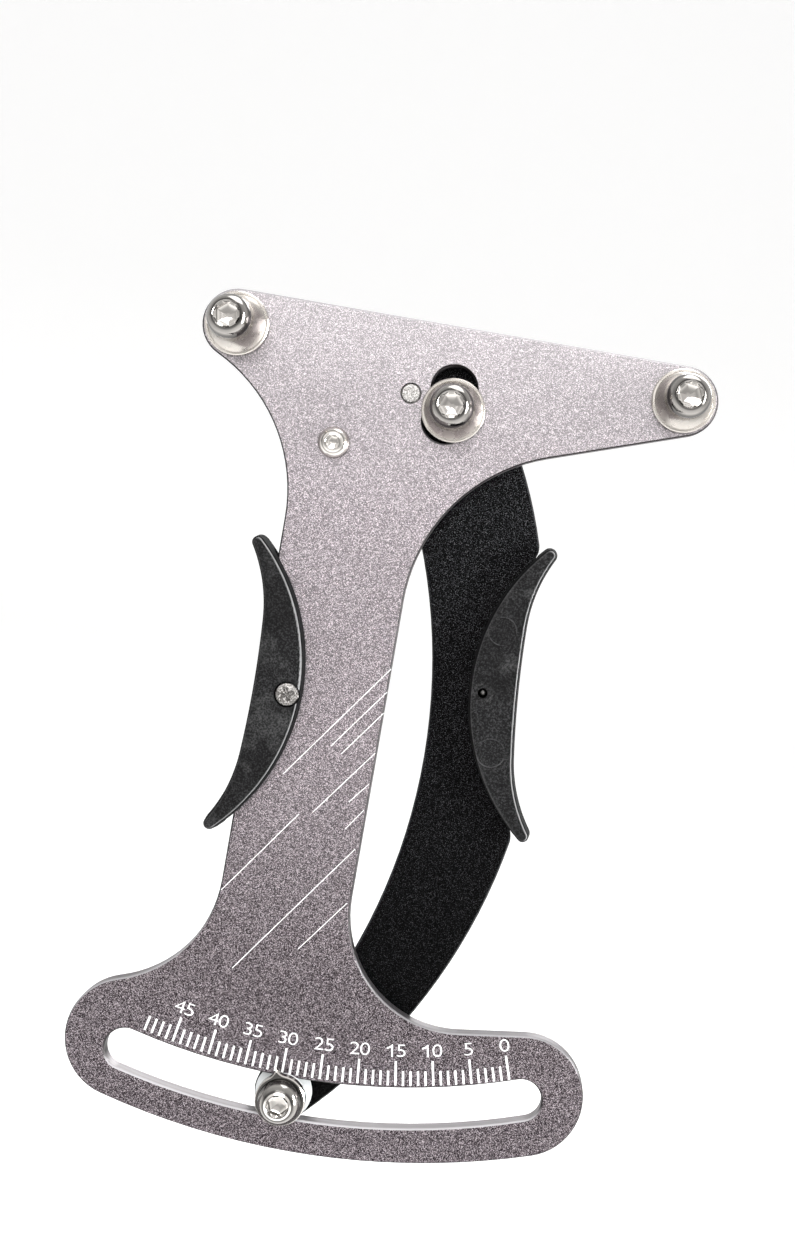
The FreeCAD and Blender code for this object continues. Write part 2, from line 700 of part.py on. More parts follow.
def lever_outline(sketch):
    pivot, pointer = point(pivot_x, pivot_z), point(pointer_x, pointer_z)
    land_half = notch_half + size.lever_land
    upper = on_right_grip(size.lever_land_depth, land_half)
    lower = on_right_grip(size.lever_land_depth, -land_half)
    head = size.lever_head_radius.value
    end = size.lever_end_radius.value
    neck = size.lever_neck_fillet.value
    sweep = size.lever_sweep_radius.value
    shoulder = size.lever_shoulder_radius.value

    # The inner edge passes its furthest point upright and touches the pointer's end.
    far_x = pivot_x + size.lever_inner_reach
    far_z = pivot_z - size.scale_slot_radius * size.lever_inner_share
    across, down = pointer_x - far_x, pointer_z - far_z
    reach = across * across + down * down - size.lever_end_radius * size.lever_end_radius
    hollow = reach / ((size.lever_end_radius - across) * 2)
    inner_x = far_x - hollow
    inner = point(inner_x, far_z)
    fillet = meet(pivot, head + neck, inner, hollow.value - neck, 1)
    outer = meet(point(*lower), sweep, pointer, sweep - end, -1)
    top = meet(point(*upper), shoulder, pivot, shoulder - head, 1)
    edges = {
        "head": Round(pivot, size.lever_head_radius, 1),
        "neck": Round(fillet, size.lever_neck_fillet, -1),
        "inner": Round(inner, hollow, -1),
        "end": Round(pointer, size.lever_end_radius, 1),
        "sweep": Round(outer, size.lever_sweep_radius, 1),
        "land": Straight(point(*lower), 90 + size.right_grip_tilt.value),
        "shoulder": Round(top, size.lever_shoulder_radius, 1),
    }
    index = {name: number for number, name in enumerate(edges)}
    corners = [(index["sweep"], point(*lower)), (index["land"], point(*upper))]
    ends = smooth_outline(sketch, list(edges.values()), corners)
    low_end, high_end = ends[index["land"]]
    pin_point(sketch, index["head"], CENTRE, pivot_x, pivot_z)
    pin_point(sketch, index["inner"], CENTRE, inner_x, None)
    pin_point(sketch, index["end"], CENTRE, pointer_x, pointer_z)
    pin_point(sketch, index["land"], low_end, *lower)
    pin_point(sketch, index["land"], high_end, *upper)


def corners_beside_grip(shape):
    """The short upright edges of the lever plate at both ends of its grip."""
    names = []
    tilt = math.radians(size.right_grip_tilt.value)
    for index, edge in enumerate(shape.Edges, start=1):
        first, last = edge.Vertexes[0].Point, edge.Vertexes[-1].Point
        if (last - first).cross(Vector(0, 1, 0)).Length > 1e-6 or len(edge.Vertexes) < 2:
            continue
        away = Vector(first.x - right_grip_x.value, 0, first.z - right_grip_z.value)
        out = away.x * math.cos(tilt) + away.z * math.sin(tilt)
        if abs(out - size.lever_land_depth.value) < 1e-3:
            names.append(f"Edge{index}")
    return names


def make_lever_plate():
    body = new_body("lever_plate")
    outline = face_sketch(body, "outline", lever_front)
    lever_outline(outline)
    pad(body, outline, size.plate_thickness)

    notch = face_sketch(body, "grip_notch", lever_front)
    circle(notch, size.notch_radius, *on_right_grip(notch_far, ZERO))
    cut = pocket(body, notch)
    doc.recompute()

    rounds = body.newObject("PartDesign::Fillet", "lever_corners")
    rounds.Base = (cut, corners_beside_grip(cut.Shape))
    bind(rounds, "Radius", size.lever_corner_radius)
    break_edges(body, rounds, lever_front)

    holes = face_sketch(body, "holes", lever_front)
    pin_hole = size.pivot_pin_diameter / 2 + size.running_clearance
    circle(holes, pin_hole, pivot_x, pivot_z)
    circle(holes, m6_bore_radius, centre_post_x, centre_post_z)
    circle(holes, m6_bore_radius, pointer_x, pointer_z)
    stem = size.hitch_stem_diameter / 2 + size.post_bore_clearance
    circle(holes, stem, hitch_x, hitch_z)
    circle(holes, grip_bore_radius, *right_grip_screw)
    pocket(body, holes)
    return keep(body)


# ------------------------------------------------------------ round small parts


def make_ring(label, inner, outer, front, back):
    return turn_body(label, [(inner, front), (outer, front), (outer, back), (inner, back)])


def button_screw(label, thread, seat, end):
    """A button-head socket screw; thread is m6 or m4, its head lies in front of seat."""
    head = getattr(size, f"{thread}_head_diameter") / 2
    rim = getattr(size, f"{thread}_rim_diameter") / 2
    shank = getattr(size, f"{thread}_diameter") / 2
    edge = seat - getattr(size, f"{thread}_head_edge")
    top = seat - getattr(size, f"{thread}_head_height")
    dome = getattr(size, f"{thread}_dome_radius")
    dish = top + size.socket_dish
    body = turn_body(label, [
        (ZERO, dish),
        (rim - size.socket_dish, dish),
        (rim, top),
        (head, edge, dome, 1),
        (head, seat),
        (shank, seat),
        (shank, end),
        (ZERO, end),
    ])
    socket = face_sketch(body, "socket", dish)
    hexagon(socket, getattr(size, f"{thread}_socket_flats"))
    pocket(body, socket, getattr(size, f"{thread}_socket_depth"))
    return body


def make_nut(label, front):
    corner = size.m6_nut_flats / math.sqrt(3)
    back = front + size.m6_nut_height
    shallow = size.nut_chamfer / 2
    body = turn_body(label, [
        (m6_bore_radius, front),
        (corner - size.nut_chamfer, front),
        (corner, front + shallow),
        (corner, back - shallow),
        (corner - size.nut_chamfer, back),
        (m6_bore_radius, back),
    ])
    flats = face_sketch(body, "flats", front)
    hexagon(flats, size.m6_nut_flats)
    circle(flats, corner * 1.2)
    pocket(body, flats)
    return body


def post_body(label, foot_back, rear=()):
    """A flared post; rear lists further corners behind its foot."""
    waist = size.post_waist_diameter / 2
    half = size.post_waist_length / 2
    foot = size.post_flange_diameter / 2
    foot_front = plate_front - size.post_flange_thickness
    flare = foot - size.post_rim_width
    return turn_body(label, [
        (m6_bore_radius, -half),
        (waist, -half),
        (waist, half),
        (flare, foot_front, size.post_flare_radius, -1),
        (foot - size.post_rim_bevel, foot_front),
        (foot, foot_front + size.post_rim_bevel),
        (foot, foot_back),
        *rear,
    ])


def mirrored(label, source):
    """The source's mirror image on the other side of mid-span."""
    twin = doc.addObject("Part::Mirroring", label)
    twin.Label = label
    twin.Source = source
    twin.Normal = Vector(1, 0, 0)
    return twin


def pair(label, source):
    """One node that holds the source and its mirror image."""
    group = doc.addObject("Part::Compound", label)
    group.Label = label
    group.Links = [source, mirrored(f"{label}_twin", source)]
    return keep(group)


def make_posts():
    post_front = -size.post_waist_length / 2
    right = post_body("right_post", plate_front, [(m6_bore_radius, plate_front)])
    place(right, x=post_x, z=post_z)
    keep(right)
    keep(mirrored("left_post", right))

    washer_back = plate_back + size.m6_washer_thickness
    nut_back = washer_back + size.m6_nut_height
    screw = button_screw("outer_post_screw", "m6", post_front, nut_back + size.screw_tip)
    washer = make_ring("outer_post_washer", m6_bore_radius, size.m6_washer_diameter / 2,
                       plate_back, washer_back)
    nut = make_nut("outer_post_nut", washer_back)
    for piece in (screw, washer, nut):
        place(piece, x=post_x, z=post_z)
        pair(f"{piece.Label}s", piece)

    foot_back = plate_front - size.centre_post_clearance
    spigot = size.spigot_diameter / 2
    centre = post_body("centre_post", foot_back, [
        (spigot, foot_back),
        (spigot, lever_front),
        (m6_bore_radius, lever_front),
    ])
    washer_back = lever_back + size.m6_washer_thickness
    nut_back = washer_back + size.m6_nut_height
    end = nut_back + size.screw_tip
    screw = button_screw("centre_post_screw", "m6", post_front, end)
    washer = make_ring("centre_post_washer", m6_bore_radius,
                       size.m6_washer_diameter / 2, lever_back, washer_back)
    nut = make_nut("centre_post_nut", washer_back)
    for piece in (centre, screw, washer, nut):
        place(piece, x=centre_post_x, z=centre_post_z)
        keep(piece)


def make_pivot():
    radius = size.pivot_pin_diameter / 2
    hole = radius + size.running_clearance
    washer_back = lever_back + size.pivot_washer_thickness
    clip_front = washer_back + size.running_clearance
    clip_back = clip_front + size.clip_thickness
    groove_back = clip_back + size.running_clearance
    groove = radius - size.clip_groove_depth
    tail = groove_back + size.pin_tail
    bevel = size.post_rim_bevel
    pin = turn_body("pivot_pin", [
        (ZERO, plate_front),
        (radius - bevel, plate_front),
        (radius, plate_front + bevel),
        (radius, washer_back),
        (groove, washer_back),
        (groove, groove_back),
        (radius, groove_back),
        (radius, tail - bevel),
        (radius - bevel, tail),
        (ZERO, tail),
    ])
    beside_slot = size.centre_post_radius - size.centre_slot_inset
    beside_slot = beside_slot - size.centre_slot_width / 2 - size.pivot_washer_gap
    spacer = make_ring("pivot_spacer", hole, beside_slot, plate_back, lever_front)
    beside_washer = size.centre_post_radius - size.m6_washer_diameter / 2
    beside_washer = beside_washer - size.pivot_washer_gap
    washer = make_ring("pivot_washer", hole, beside_washer, lever_back, washer_back)
    beside_nut = size.centre_post_radius - size.m6_nut_flats / math.sqrt(3)
    beside_nut = beside_nut - size.clip_gap
    bore = groove + size.running_clearance
    clip = make_ring("pivot_clip", bore, beside_nut, clip_front, clip_back)
    mouth = face_sketch(clip, "mouth", clip_front)
    half, below = size.clip_mouth / 2, -size.centre_post_radius
    trace(mouth, [(half, below), (half, ZERO), (-half, ZERO), (-half, below)])
    pocket(clip, mouth)
    for piece in (pin, spacer, washer, clip):
        place(piece, x=pivot_x, z=pivot_z)
        keep(piece)


# -------------------------------------------------------------------- pointer


def pointer_outline(sketch):
    """A disc whose hollow-sided tip points up; the body's placement turns it."""
    disc, hollow = size.pointer_diameter / 2, size.pointer_tip_hollow
    tip = Vector(0, size.pointer_reach.value, 0)
    reach = disc.value + hollow.value
    centre = Vector(0, 0, 0)
    left = meet(centre, reach, tip, hollow.value, 1)
    right = meet(centre, reach, tip, hollow.value, -1)
    edges = [
        Round(centre, disc, 1),
        Round(right, hollow, -1),
        Round(left, hollow, -1),
    ]
    ends = smooth_outline(sketch, edges, [(1, tip)])
    pin_point(sketch, 0, CENTRE, ZERO, ZERO)
    pin_point(sketch, 1, ends[1][1], ZERO, size.pointer_reach)


def make_pointer():
    flange_back = plate_front - size.bush_face_clearance
    flange_front = flange_back - size.bush_flange_thickness
    pointer_front = flange_front - size.pointer_thickness
    glide_front = plate_back + size.bush_face_clearance
    washer_back = lever_back + size.m6_washer_thickness
    nut_back = washer_back + size.m6_nut_height

    pointer = new_body("pointer")
    outline = face_sketch(pointer, "outline", pointer_front)
    pointer_outline(outline)
    blank = pad(pointer, outline, size.pointer_thickness)
    doc.recompute()
    bevel = pointer.newObject("PartDesign::Chamfer", "pointer_front_edge")
    bevel.Base = (blank, plane_edges(blank.Shape, pointer_front.value))
    bind(bevel, "Size", size.pointer_bevel)
    bore = face_sketch(pointer, "bore", pointer_front)
    circle(bore, m6_bore_radius)
    pocket(pointer, bore)

    slot_half = size.scale_slot_width / 2
    slot_fit = slot_half - size.bush_clearance
    flange = slot_half + size.bush_flange_lap
    bush = turn_body("pointer_bush", [
        (m6_bore_radius, flange_front),
        (flange, flange_front),
        (flange, flange_back),
        (slot_fit, flange_back),
        (slot_fit, glide_front),
        (m6_bore_radius, glide_front),
    ])
    glide = make_ring("pointer_glide_washer", m6_bore_radius, slot_half + size.glide_lap,
                      glide_front, lever_front)
    screw = button_screw("pointer_screw", "m6", pointer_front, nut_back + size.screw_tip)
    washer = make_ring("pointer_washer", m6_bore_radius, size.m6_washer_diameter / 2,
                       lever_back, washer_back)
    nut = make_nut("pointer_nut", washer_back)
    pointer.Placement = Placement(Vector(), Rotation(Vector(0, -1, 0), 1))
    bind(pointer, "Placement.Rotation.Angle", size.pointer_turn - size.pointer_angle)
    for piece in (pointer, bush, glide, screw, washer, nut):
        place(piece, x=pointer_x, z=pointer_z)
        keep(piece)


# --------------------------------------------------------------------- spring


def neck_corners(start):
    """Corners of a spring post from a depth on: collar, groove for the eye, lip."""
    collar = size.spring_post_diameter / 2
    neck = size.spring_diameter / 2 - size.spring_wire - size.spring_eye_play
    half = size.spring_wire / 2 + size.spring_eye_play
    return [
        (collar, start),
        (collar, spring_plane - half),
        (neck, spring_plane - half),
        (neck, spring_plane + half),
        (collar, spring_plane + half),
        (collar, spring_plane + half + size.spring_post_lip),
        (ZERO, spring_plane + half + size.spring_post_lip),
    ]


def make_spring_posts():
    screw_end = plate_front + size.m4_length
    screw = button_screw("spring_anchor_screw", "m4", plate_front, screw_end)
    blind = screw_end + size.screw_tip
    standoff = turn_body("spring_anchor_standoff", [
        (m4_bore_radius, plate_back),
        *neck_corners(plate_back),
        (ZERO, blind),
        (m4_bore_radius, blind),
    ])
    for piece in (screw, standoff):
        place(piece, x=anchor_x, z=anchor_z)
        keep(piece)
    stem = size.hitch_stem_diameter / 2
    hitch = turn_body("lever_spring_post", [
        (ZERO, lever_front),
        (stem, lever_front),
        (stem, lever_back),
        *neck_corners(lever_back),
    ])
    place(hitch, x=hitch_x, z=hitch_z)
    keep(hitch)


def bend(start, middle, finish):
    return Part.Arc(start, middle, finish).toShape()


def spring_path(length):
    """The wire's line from one eye to the other, along Z.  The eyes stand upright in the
    plane Y = 0, each a turn of the coil bent up, and the coil lies behind that plane."""
    radius = (size.spring_diameter.value - size.spring_wire.value) / 2
    corner = spring_bend.value
    leg = size.spring_post_diameter.value / 2
    halves = round(2 * size.spring_turns.value)
    step = (length - 2 * (leg + corner)) / halves
    bulge = math.hypot(radius, step / 2)
    half_turn = math.sqrt(0.5)
    opening = math.radians(size.spring_eye_opening.value)
    free_end = Vector(-radius * math.sin(opening), 0, radius * math.cos(opening))
    eye = [
        bend(free_end, Vector(0, 0, -radius), Vector(radius, 0, 0)),
        Part.LineSegment(Vector(radius, 0, 0), Vector(radius, 0, leg)).toShape(),
        bend(
            Vector(radius, 0, leg),
            Vector(radius, corner * (1 - half_turn), leg + corner * half_turn),
            Vector(radius, corner, leg + corner),
        ),
    ]
    coil = []
    for index in range(halves):
        side = 1 if index % 2 == 0 else -1
        low = leg + corner + index * step
        coil.append(bend(
            Vector(side * radius, corner, low),
            Vector(0, corner + side * bulge, low + step / 2),
            Vector(-side * radius, corner, low + step),
        ))
    other_eye = []
    for edge in reversed(eye):
        edge = edge.copy()
        edge.rotate(Vector(0, 0, length / 2), Vector(0, 1, 0), 180)
        other_eye.append(edge)
    return Part.Wire(eye + coil + other_eye), free_end


def make_return_spring():
    """An extension spring of one wire, drawn along its own Z between the two posts."""
    wire = size.spring_wire.value / 2
    across = hitch_x.value - anchor_x.value
    rise = hitch_z.value - anchor_z.value
    path, free_end = spring_path(math.hypot(across, rise))
    along = path.Edges[0].tangentAt(path.Edges[0].FirstParameter)
    section = Part.Wire(Part.makeCircle(wire, free_end, along))
    node = doc.addObject("Part::Feature", "return_spring")
    node.Label = "return_spring"
    node.Shape = path.makePipeShell([section], True, False)
    lean = math.degrees(math.atan2(across, rise))
    base = Vector(anchor_x.value, spring_plane.value, anchor_z.value)
    node.Placement = Placement(base, Rotation(Vector(0, 1, 0), lean))
    return keep(node)


# ---------------------------------------------------------------------- grips


def crescent(sketch):
    """The grip's outline: bulge at the origin, hollow side to +X, horns up and down.
    The hollow side is nearly straight at its middle and curls out to the horns."""
    inner, outer = size.grip_inner_radius, size.grip_outer_radius
    tip, begin = size.grip_tip_radius, size.grip_curl_start
    tip_up = size.grip_reach - tip
    tip_gap = inner - tip
    tip_out = inner - (tip_gap * tip_gap - tip_up * tip_up).root()
    rise = (outer * outer - begin * begin).root()
    begin_out = grip_far - rise

    # The curl leaves the middle at its beginning and touches the horn's round tip.
    out, up = begin_out - tip_out, begin - tip_up
    lean = (rise * out - begin * up) / outer
    curl = (out * out + up * up - tip * tip) / ((tip - lean) * 2)
    curl_out = begin_out + curl * rise / outer
    curl_up = begin - curl * begin / outer
    edges = [
        Round(point(inner, ZERO), inner, 1),
        Round(point(tip_out, -tip_up), tip, 1),
        Round(point(curl_out, -curl_up), curl, -1),
        Round(point(grip_far, ZERO), outer, -1),
        Round(point(curl_out, curl_up), curl, -1),
        Round(point(tip_out, tip_up), tip, 1),
    ]
    smooth_outline(sketch, edges)
    pin_point(sketch, 0, CENTRE, inner, ZERO)
    pin_point(sketch, 3, CENTRE, grip_far, ZERO)
    for index, height in ((1, -tip_up), (5, tip_up)):
        pin_point(sketch, index, CENTRE, None, height)


def grip_half(label, nearer):
    """One moulding of a grip.  The nearer one ends the screw, the other takes its head.
    The parting plane is at Y = 0 and the plate's edge lies in a rebate."""
    body = new_body(label)
    outline = face_sketch(body, "outline")
    crescent(outline)
    shell = pad(body, outline, grip_depth, -size.grip_draft, forward=nearer)
    doc.recompute()
    face = -grip_depth if nearer else grip_depth
    rim = body.newObject("PartDesign::Fillet", f"{label}_rim")
    rim.Base = (shell, plane_edges(shell.Shape, face.value))
    bind(rim, "Radius", size.grip_edge_radius)

    rebate = face_sketch(body, "rebate")
    edge = size.notch_radius - size.grip_rebate_clearance
    circle(rebate, edge, notch_far)
    circle(rebate, edge * 2, notch_far)
    pocket(body, rebate, size.plate_thickness / 2, forward=nearer)

    bore = face_sketch(body, "bore")
    drop = -size.grip_screw_drop
    circle(bore, grip_bore_radius, size.grip_screw_inset, drop)
    if not nearer:
        pocket(body, bore)
        recess = face_sketch(body, "recess", grip_depth)
        circle(recess, size.grip_screw_recess / 2, size.grip_screw_inset, drop)
        depth = size.grip_screw_head_height + size.grip_screw_sink
        pocket(body, recess, depth, forward=True)
        return body
    pocket(body, bore, grip_depth - size.grip_pin_web, forward=True)
    small = face_sketch(body, "pin_hole")
    circle(small, size.grip_pin_hole / 2, size.grip_screw_inset, drop)
    pocket(body, small, forward=True)
    marks = face_sketch(body, "ejector_marks", -grip_depth)
    for up in (-size.ejector_mark_offset, size.ejector_mark_offset):
        circle(marks, size.ejector_mark_diameter / 2, size.ejector_mark_inset, up)
    pocket(body, marks, size.ejector_mark_depth)
    return body


def grip_screw(label):
    """A pan-head screw whose head lies behind the parting plane."""
    top = grip_depth - size.grip_screw_sink
    seat = top - size.grip_screw_head_height
    shank = size.grip_screw_diameter / 2
    end = -(grip_depth - size.grip_pin_web) + size.running_clearance
    head = size.grip_screw_head_diameter / 2
    body = turn_body(label, [
        (ZERO, top),
        (ZERO, end),
        (shank, end),
        (shank, seat),
        (head, seat),
        (head, top - head / 6),
        (head * 0.8, top),
    ])
    return body


def make_grip(side, x, z, screw_x, screw_z):
    """Both halves and the screw; the left grip is the right one turned about +Z."""
    nearer = grip_half(f"{side}_grip_nearer", True)
    farther = grip_half(f"{side}_grip_farther", False)
    screw = grip_screw(f"{side}_grip_screw")
    if side == "left":
        turn, angle = Vector(0, 0, 1), as_size(180)
        nearer.Label, farther.Label = "left_grip_rear", "left_grip_front"
        middle = plate_front + size.plate_thickness / 2
    else:
        turn, angle = Vector(0, -1, 0), size.right_grip_tilt
        nearer.Label, farther.Label = "right_grip_front", "right_grip_rear"
        middle = lever_front + size.plate_thickness / 2
    for piece in (nearer, farther, screw):
        piece.Placement = Placement(Vector(), Rotation(turn, 1))
        bind(piece, "Placement.Rotation.Angle", angle)
        place(piece, x=x, y=middle, z=z)
        keep(piece)
    place(screw, x=screw_x, y=middle, z=screw_z)


# ---------------------------------------------------------------------- build

make_front_plate()
make_lever_plate()
make_posts()
make_pivot()
make_pointer()
make_spring_posts()
make_return_spring()
make_grip("left", left_grip_x, left_grip_z, *left_grip_screw)
make_grip("right", right_grip_x, right_grip_z, *right_grip_screw)
doc.recompute()

for item in doc.Objects:
    if "Invalid" in item.State or "Error" in item.State:
        raise RuntimeError(f"{item.Label} failed: {item.State}")
for node in NODES:
    if node.Shape.isNull() or not node.Shape.isValid():
        raise RuntimeError(f"{node.Label} has no valid shape")

os.makedirs("parts", exist_ok=True)
for node in NODES:
    node.Shape.exportStep(f"parts/{node.Label}.step")
    print(f"{node.Label}: {len(node.Shape.Solids)} solid, {node.Shape.Volume:.1f} mm3")
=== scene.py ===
"""Spoke tension meter: looks, print, detailed screws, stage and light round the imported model.

Lengths are in mm unless a line says otherwise, and MM turns them into metres. X runs to the
right along the front plate, Y from front to back, and Z up.
"""

import math

import bmesh
import bpy
from mathutils import Matrix, Vector


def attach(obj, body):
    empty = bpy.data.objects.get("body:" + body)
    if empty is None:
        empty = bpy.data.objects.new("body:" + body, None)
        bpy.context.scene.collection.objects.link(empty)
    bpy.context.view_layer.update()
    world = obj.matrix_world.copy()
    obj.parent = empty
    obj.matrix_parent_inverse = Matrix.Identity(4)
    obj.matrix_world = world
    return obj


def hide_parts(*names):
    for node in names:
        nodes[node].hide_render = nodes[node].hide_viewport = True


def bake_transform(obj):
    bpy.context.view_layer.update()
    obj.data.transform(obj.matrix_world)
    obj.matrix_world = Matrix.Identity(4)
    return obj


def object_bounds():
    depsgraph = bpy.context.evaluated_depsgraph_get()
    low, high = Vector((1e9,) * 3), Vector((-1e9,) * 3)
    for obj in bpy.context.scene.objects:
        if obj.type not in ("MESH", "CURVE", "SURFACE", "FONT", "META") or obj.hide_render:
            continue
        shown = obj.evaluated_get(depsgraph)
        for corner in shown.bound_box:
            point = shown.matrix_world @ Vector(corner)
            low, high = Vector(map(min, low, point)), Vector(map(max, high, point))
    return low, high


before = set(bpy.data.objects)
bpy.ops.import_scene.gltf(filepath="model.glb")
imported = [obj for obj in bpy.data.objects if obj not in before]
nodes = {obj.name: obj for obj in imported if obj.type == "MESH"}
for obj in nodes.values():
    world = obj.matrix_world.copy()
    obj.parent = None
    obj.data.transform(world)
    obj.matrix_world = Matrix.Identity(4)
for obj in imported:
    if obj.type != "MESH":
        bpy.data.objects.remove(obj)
cad_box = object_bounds()

MM = 0.001
PIVOT = Vector((-10.4, 0.0, -3.3))
PLATE_FRONT, PLATE_BACK = 8.0, 11.0
PLATE_BOTTOM, PLATE_TOP = -188.0, 15.0
LEVER_FRONT, LEVER_BACK = 11.6, 14.6
LEVER_BOTTOM, LEVER_TOP = -175.0, 10.0

# The places (x, z) of the screws.
LEFT_POST, RIGHT_POST, CENTRE_POST = (-54.25, 6.0), (54.25, 6.0), (0.33, -5.72)
POINTER_SCREW, ANCHOR_SCREW = (-12.2, -174.89), (-26.6, -18.1)
LEFT_GRIP_SCREW, RIGHT_GRIP_SCREW = (-27.0, -79.2), (18.834, -71.345)

# ------------------------------------------------------------------- camera

# The frame's long side and its shift are in pixels, the roll in degrees and the clip in metres.
# The camera's axis meets the plate at AXIS_X, AXIS_Z, and DISTANCE is from there.
PIXELS_PER_MM = 4.17
LONG_SIDE = 1243
SHIFT_PIXELS = (-104.5, -61.5)
SENSOR = 36.0
DISTANCE = 300.0
ROLL = 9.85
AXIS_X, AXIS_Z = 17.94, -38.98
CLIP_START = 0.01


def make_camera():
    """A camera that looks along Y at the plate's front, rolled by ROLL degrees."""
    data = bpy.data.cameras.new("camera")
    data.sensor_width = SENSOR
    data.lens = PIXELS_PER_MM * DISTANCE * SENSOR / LONG_SIDE
    data.shift_x = SHIFT_PIXELS[0] / LONG_SIDE
    data.shift_y = SHIFT_PIXELS[1] / LONG_SIDE
    data.clip_start = CLIP_START
    camera = bpy.data.objects.new("camera", data)
    bpy.context.scene.collection.objects.link(camera)
    roll = math.radians(ROLL)
    right = Vector((math.cos(roll), 0, math.sin(roll)))
    up = Vector((-math.sin(roll), 0, math.cos(roll)))
    back = Vector((0, -1, 0))
    turn = Matrix((right, up, back)).transposed().to_4x4()
    place = Matrix.Translation(Vector((AXIS_X, PLATE_FRONT - DISTANCE, AXIS_Z)) * MM)
    camera.matrix_world = place @ turn
    bpy.context.scene.camera = camera


# --------------------------------------------------------------- node trees

# The Mix node's inputs by number: its factor and its two colours; then its colour output.
MIX_INPUTS, MIX_OUTPUT = (0, 6, 7), 2


def set_inputs(node, values):
    """Sets the inputs of a node by name, with _ for a space."""
    for name, value in values.items():
        node.inputs[name.replace("_", " ")].default_value = value


class Tree:
    """A node tree with short calls that add nodes and join them."""

    def __init__(self, tree, coordinates):
        self.tree = tree
        outputs = self.add("TexCoord").outputs
        self.place = outputs[coordinates]
        self.normal = outputs["Normal"]

    def add(self, kind, **values):
        """A new node of a kind, with some of its inputs set."""
        node = self.tree.nodes.new("ShaderNode" + kind)
        set_inputs(node, values)
        return node

    def join(self, source, target):
        """Links an output to an input."""
        self.tree.links.new(source, target)

    def along(self, axis):
        """The place along an axis, in metres."""
        node = self.add("SeparateXYZ")
        self.join(self.place, node.inputs["Vector"])
        return node.outputs[axis]

    def span(self, source, low, high, smooth=False):
        """A value as its share of the way from low to high."""
        node = self.add("MapRange", From_Min=low, From_Max=high)
        if smooth:
            node.interpolation_type = "SMOOTHSTEP"
        self.join(source, node.inputs["Value"])
        return node.outputs["Result"]

    def vector(self, operation, source, other=(0, 0, 0)):
        """The number that an operation makes of a vector, alone or with a fixed one."""
        node = self.add("VectorMath")
        node.operation = operation
        self.join(source, node.inputs[0])
        node.inputs[1].default_value = other
        return node.outputs["Value"]

    def number(self, operation, first, second):
        """The number that an operation makes of an output and a second or fixed one."""
        node = self.add("Math")
        node.operation = operation
        self.join(first, node.inputs[0])
        if isinstance(second, float):
            node.inputs[1].default_value = second
        else:
            self.join(second, node.inputs[1])
        return node.outputs["Value"]

    def ramp(self, source, stops):
        """A colour against a value; each stop has a position and a colour or a grey level."""
        node = self.add("ValToRGB")
        ramp = node.color_ramp
        while len(ramp.elements) < len(stops):
            ramp.elements.new(0.5)
        for element, (position, colour) in zip(ramp.elements, stops):
            if not isinstance(colour, tuple):
                colour = (colour, colour, colour)
            element.position = position
            element.color = (*colour, 1)
        self.join(source, node.inputs["Fac"])
        return node.outputs["Color"]

    def mix(self, factor, first, second, kind="MIX"):
        """Two colours mixed; the factor and each colour is an output or a fixed value."""
        node = self.add("Mix")
        node.data_type = "RGBA"
        node.blend_type = kind
        for index, value in zip(MIX_INPUTS, (factor, first, second)):
            if isinstance(value, bpy.types.NodeSocket):
                self.join(value, node.inputs[index])
            elif isinstance(value, tuple):
                node.inputs[index].default_value = (*value, 1)
            else:
                node.inputs[index].default_value = value
        return node.outputs[MIX_OUTPUT]

    def times(self, first, second):
        """Two colours multiplied."""
        return self.mix(1.0, first, second, "MULTIPLY")

    def lighter(self, first, second):
        """The lighter of two colours, channel by channel."""
        return self.mix(1.0, first, second, "LIGHTEN")


RING_LINE = [(0.25, 0.0), (0.5, 1.0), (0.75, 0.0)]
RING_GAPS = [(0.42, 0.1), (0.6, 0.8)]


